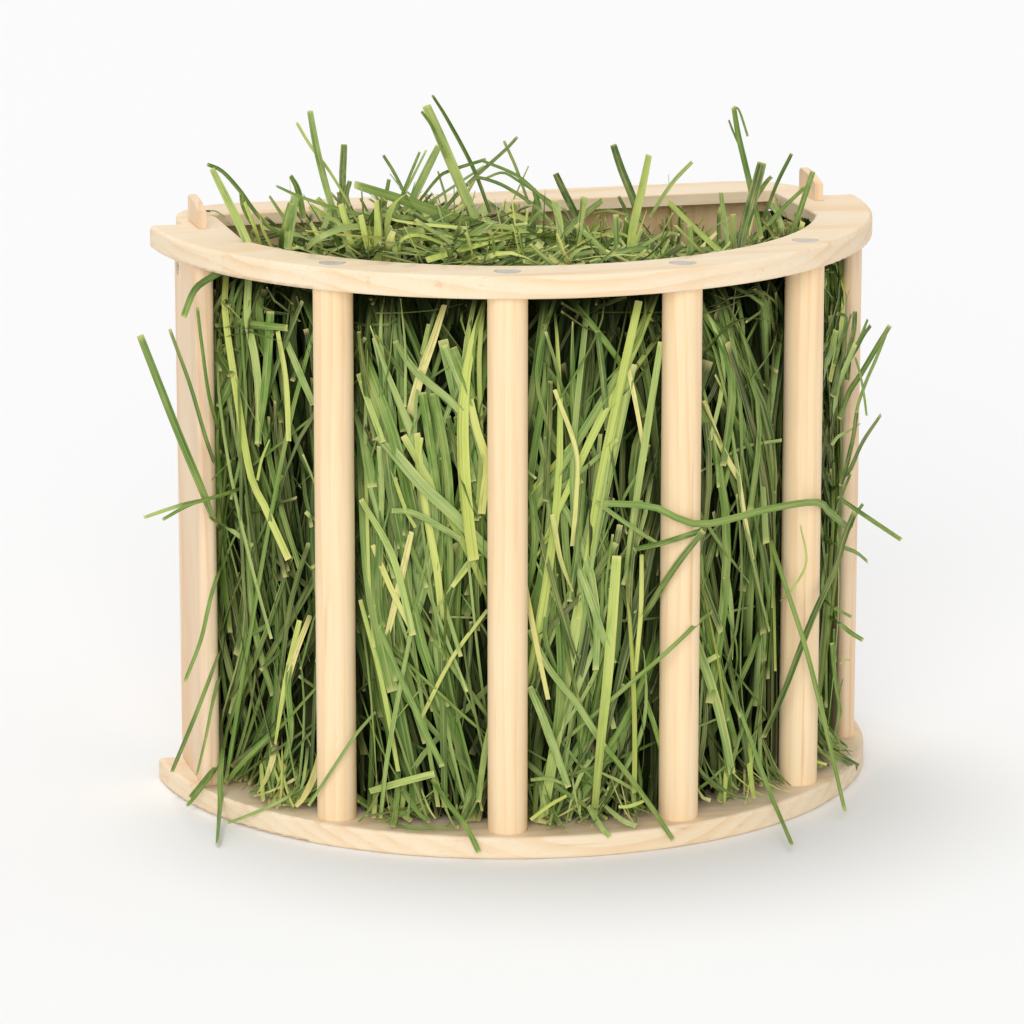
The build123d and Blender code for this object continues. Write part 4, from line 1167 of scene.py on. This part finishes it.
class HAYBOX_OT_stage(bpy.types.Operator):
    """Sets the floor, the soft light and the camera"""

    bl_idname = "haybox.stage"
    bl_label = "Set stage"

    def execute(self, context):
        stage = settings("stage")
        scene = context.scene
        scene.view_settings.view_transform = "Standard"
        clear_selection()
        bpy.ops.mesh.primitive_plane_add(size=24, location=(0, 0, 0))
        floor = context.object
        floor.name = "floor"
        dull = {"Roughness": 0.9, "Specular IOR Level": 0.0}
        material, nodes, shader = new_material("pale floor", **dull)
        speckle = nodes.math("MULTIPLY", nodes.noise(nodes.place(), 3.0, 1.0), 0.01)
        tone = nodes.mix(speckle, stage.floor, [c * 0.97 for c in stage.floor])
        join(nodes, tone, shader, "Base Color")
        floor.data.materials.append(material)

        world = bpy.data.worlds.new("even light")
        scene.world = world
        world.use_nodes = True
        world.node_tree.nodes.clear()
        nodes = Nodes(world.node_tree)
        rays = nodes.add("ShaderNodeLightPath").outputs
        mirrored = nodes.math("MAXIMUM", rays["Is Glossy Ray"], rays["Is Transmission Ray"])
        seen = nodes.math("MAXIMUM", rays["Is Camera Ray"], mirrored)
        light, backdrop = (
            nodes.add("ShaderNodeBackground", {"Color": (*tone, 1), "Strength": strength}).outputs[0]
            for tone, strength in (((1, 1, 1), stage.sky_strength), (BACKDROP, 1.0))
        )
        both = nodes.add("ShaderNodeMixShader", {0: seen, 1: light, 2: backdrop}).outputs[0]
        nodes.add("ShaderNodeOutputWorld", {"Surface": both})

        for name, energy, angle, aim in (
            ("front lamp", stage.lamp_strength, 40, (0.34, 0.92, -0.38)),
            ("back lamp", stage.back_strength, 28, (0.05, -0.25, -1.0)),
        ):
            lamp = bpy.data.lights.new(name, "SUN")
            lamp.energy = energy
            lamp.angle = radians(angle)
            lamp_object = bpy.data.objects.new(name, lamp)
            scene.collection.objects.link(lamp_object)
            lamp_object.rotation_euler = Vector(aim).to_track_quat("-Z", "Y").to_euler()

        camera = bpy.data.cameras.new("camera")
        camera.lens = stage.camera_lens
        camera.sensor_width = SENSOR_WIDTH
        camera.shift_x, camera.shift_y = CAMERA_SHIFT
        camera.clip_end = 100
        camera_object = bpy.data.objects.new("camera", camera)
        scene.collection.objects.link(camera_object)
        pitch, yaw = stage.camera_pitch, stage.camera_yaw
        away = Vector((-sin(yaw) * cos(pitch), -cos(yaw) * cos(pitch), sin(pitch)))
        camera_object.location = Vector((0, 0, AIM_HEIGHT)) + away * stage.camera_distance
        camera_object.rotation_euler = (-away).to_track_quat("-Z", "Y").to_euler()
        scene.camera = camera_object
        return {"FINISHED"}


OPERATORS = (
    HAYBOX_OT_boards,
    HAYBOX_OT_panel,
    HAYBOX_OT_uprights,
    HAYBOX_OT_screws,
    HAYBOX_OT_hay_core,
    HAYBOX_OT_packed_hay,
    HAYBOX_OT_heaped_hay,
    HAYBOX_OT_long_stalks,
    HAYBOX_OT_stage,
)
SETTINGS = {
    "hay_feeder_wood": WoodSettings,
    "hay_feeder_screws": ScrewSettings,
    "hay_feeder_hay": HaySettings,
    "hay_feeder_stage": StageSettings,
}


class HAYBOX_PT_sidebar(bpy.types.Panel):
    """Sizes, colours and steps of the hay feeder box"""

    bl_idname = "HAYBOX_PT_sidebar"
    bl_label = "Hay feeder box"
    bl_space_type = "VIEW_3D"
    bl_region_type = "UI"
    bl_category = "Hay feeder"

    def draw(self, context):
        for name, group in SETTINGS.items():
            box = self.layout.box()
            box.label(text=name.rpartition("_")[2].capitalize())
            for prop in group.__annotations__:
                box.prop(getattr(context.scene, name), prop)
        for operator in OPERATORS:
            self.layout.operator(operator.bl_idname)


def register():
    for cls in (*SETTINGS.values(), *OPERATORS, HAYBOX_PT_sidebar):
        bpy.utils.register_class(cls)
    for name, group in SETTINGS.items():
        setattr(bpy.types.Scene, name, PointerProperty(type=group))


def unregister():
    for name in SETTINGS:
        delattr(bpy.types.Scene, name)
    for cls in reversed((*SETTINGS.values(), *OPERATORS, HAYBOX_PT_sidebar)):
        bpy.utils.unregister_class(cls)


def main():
    register()
    bpy.ops.haybox.boards()
    bpy.ops.haybox.back_panel()
    bpy.ops.haybox.uprights()
    bpy.ops.haybox.screws()
    bpy.ops.haybox.hay_core()
    bpy.ops.haybox.packed_hay()
    bpy.ops.haybox.heaped_hay()
    bpy.ops.haybox.long_stalks()
    bpy.ops.haybox.stage()


if __name__ == "__main__":
    main()
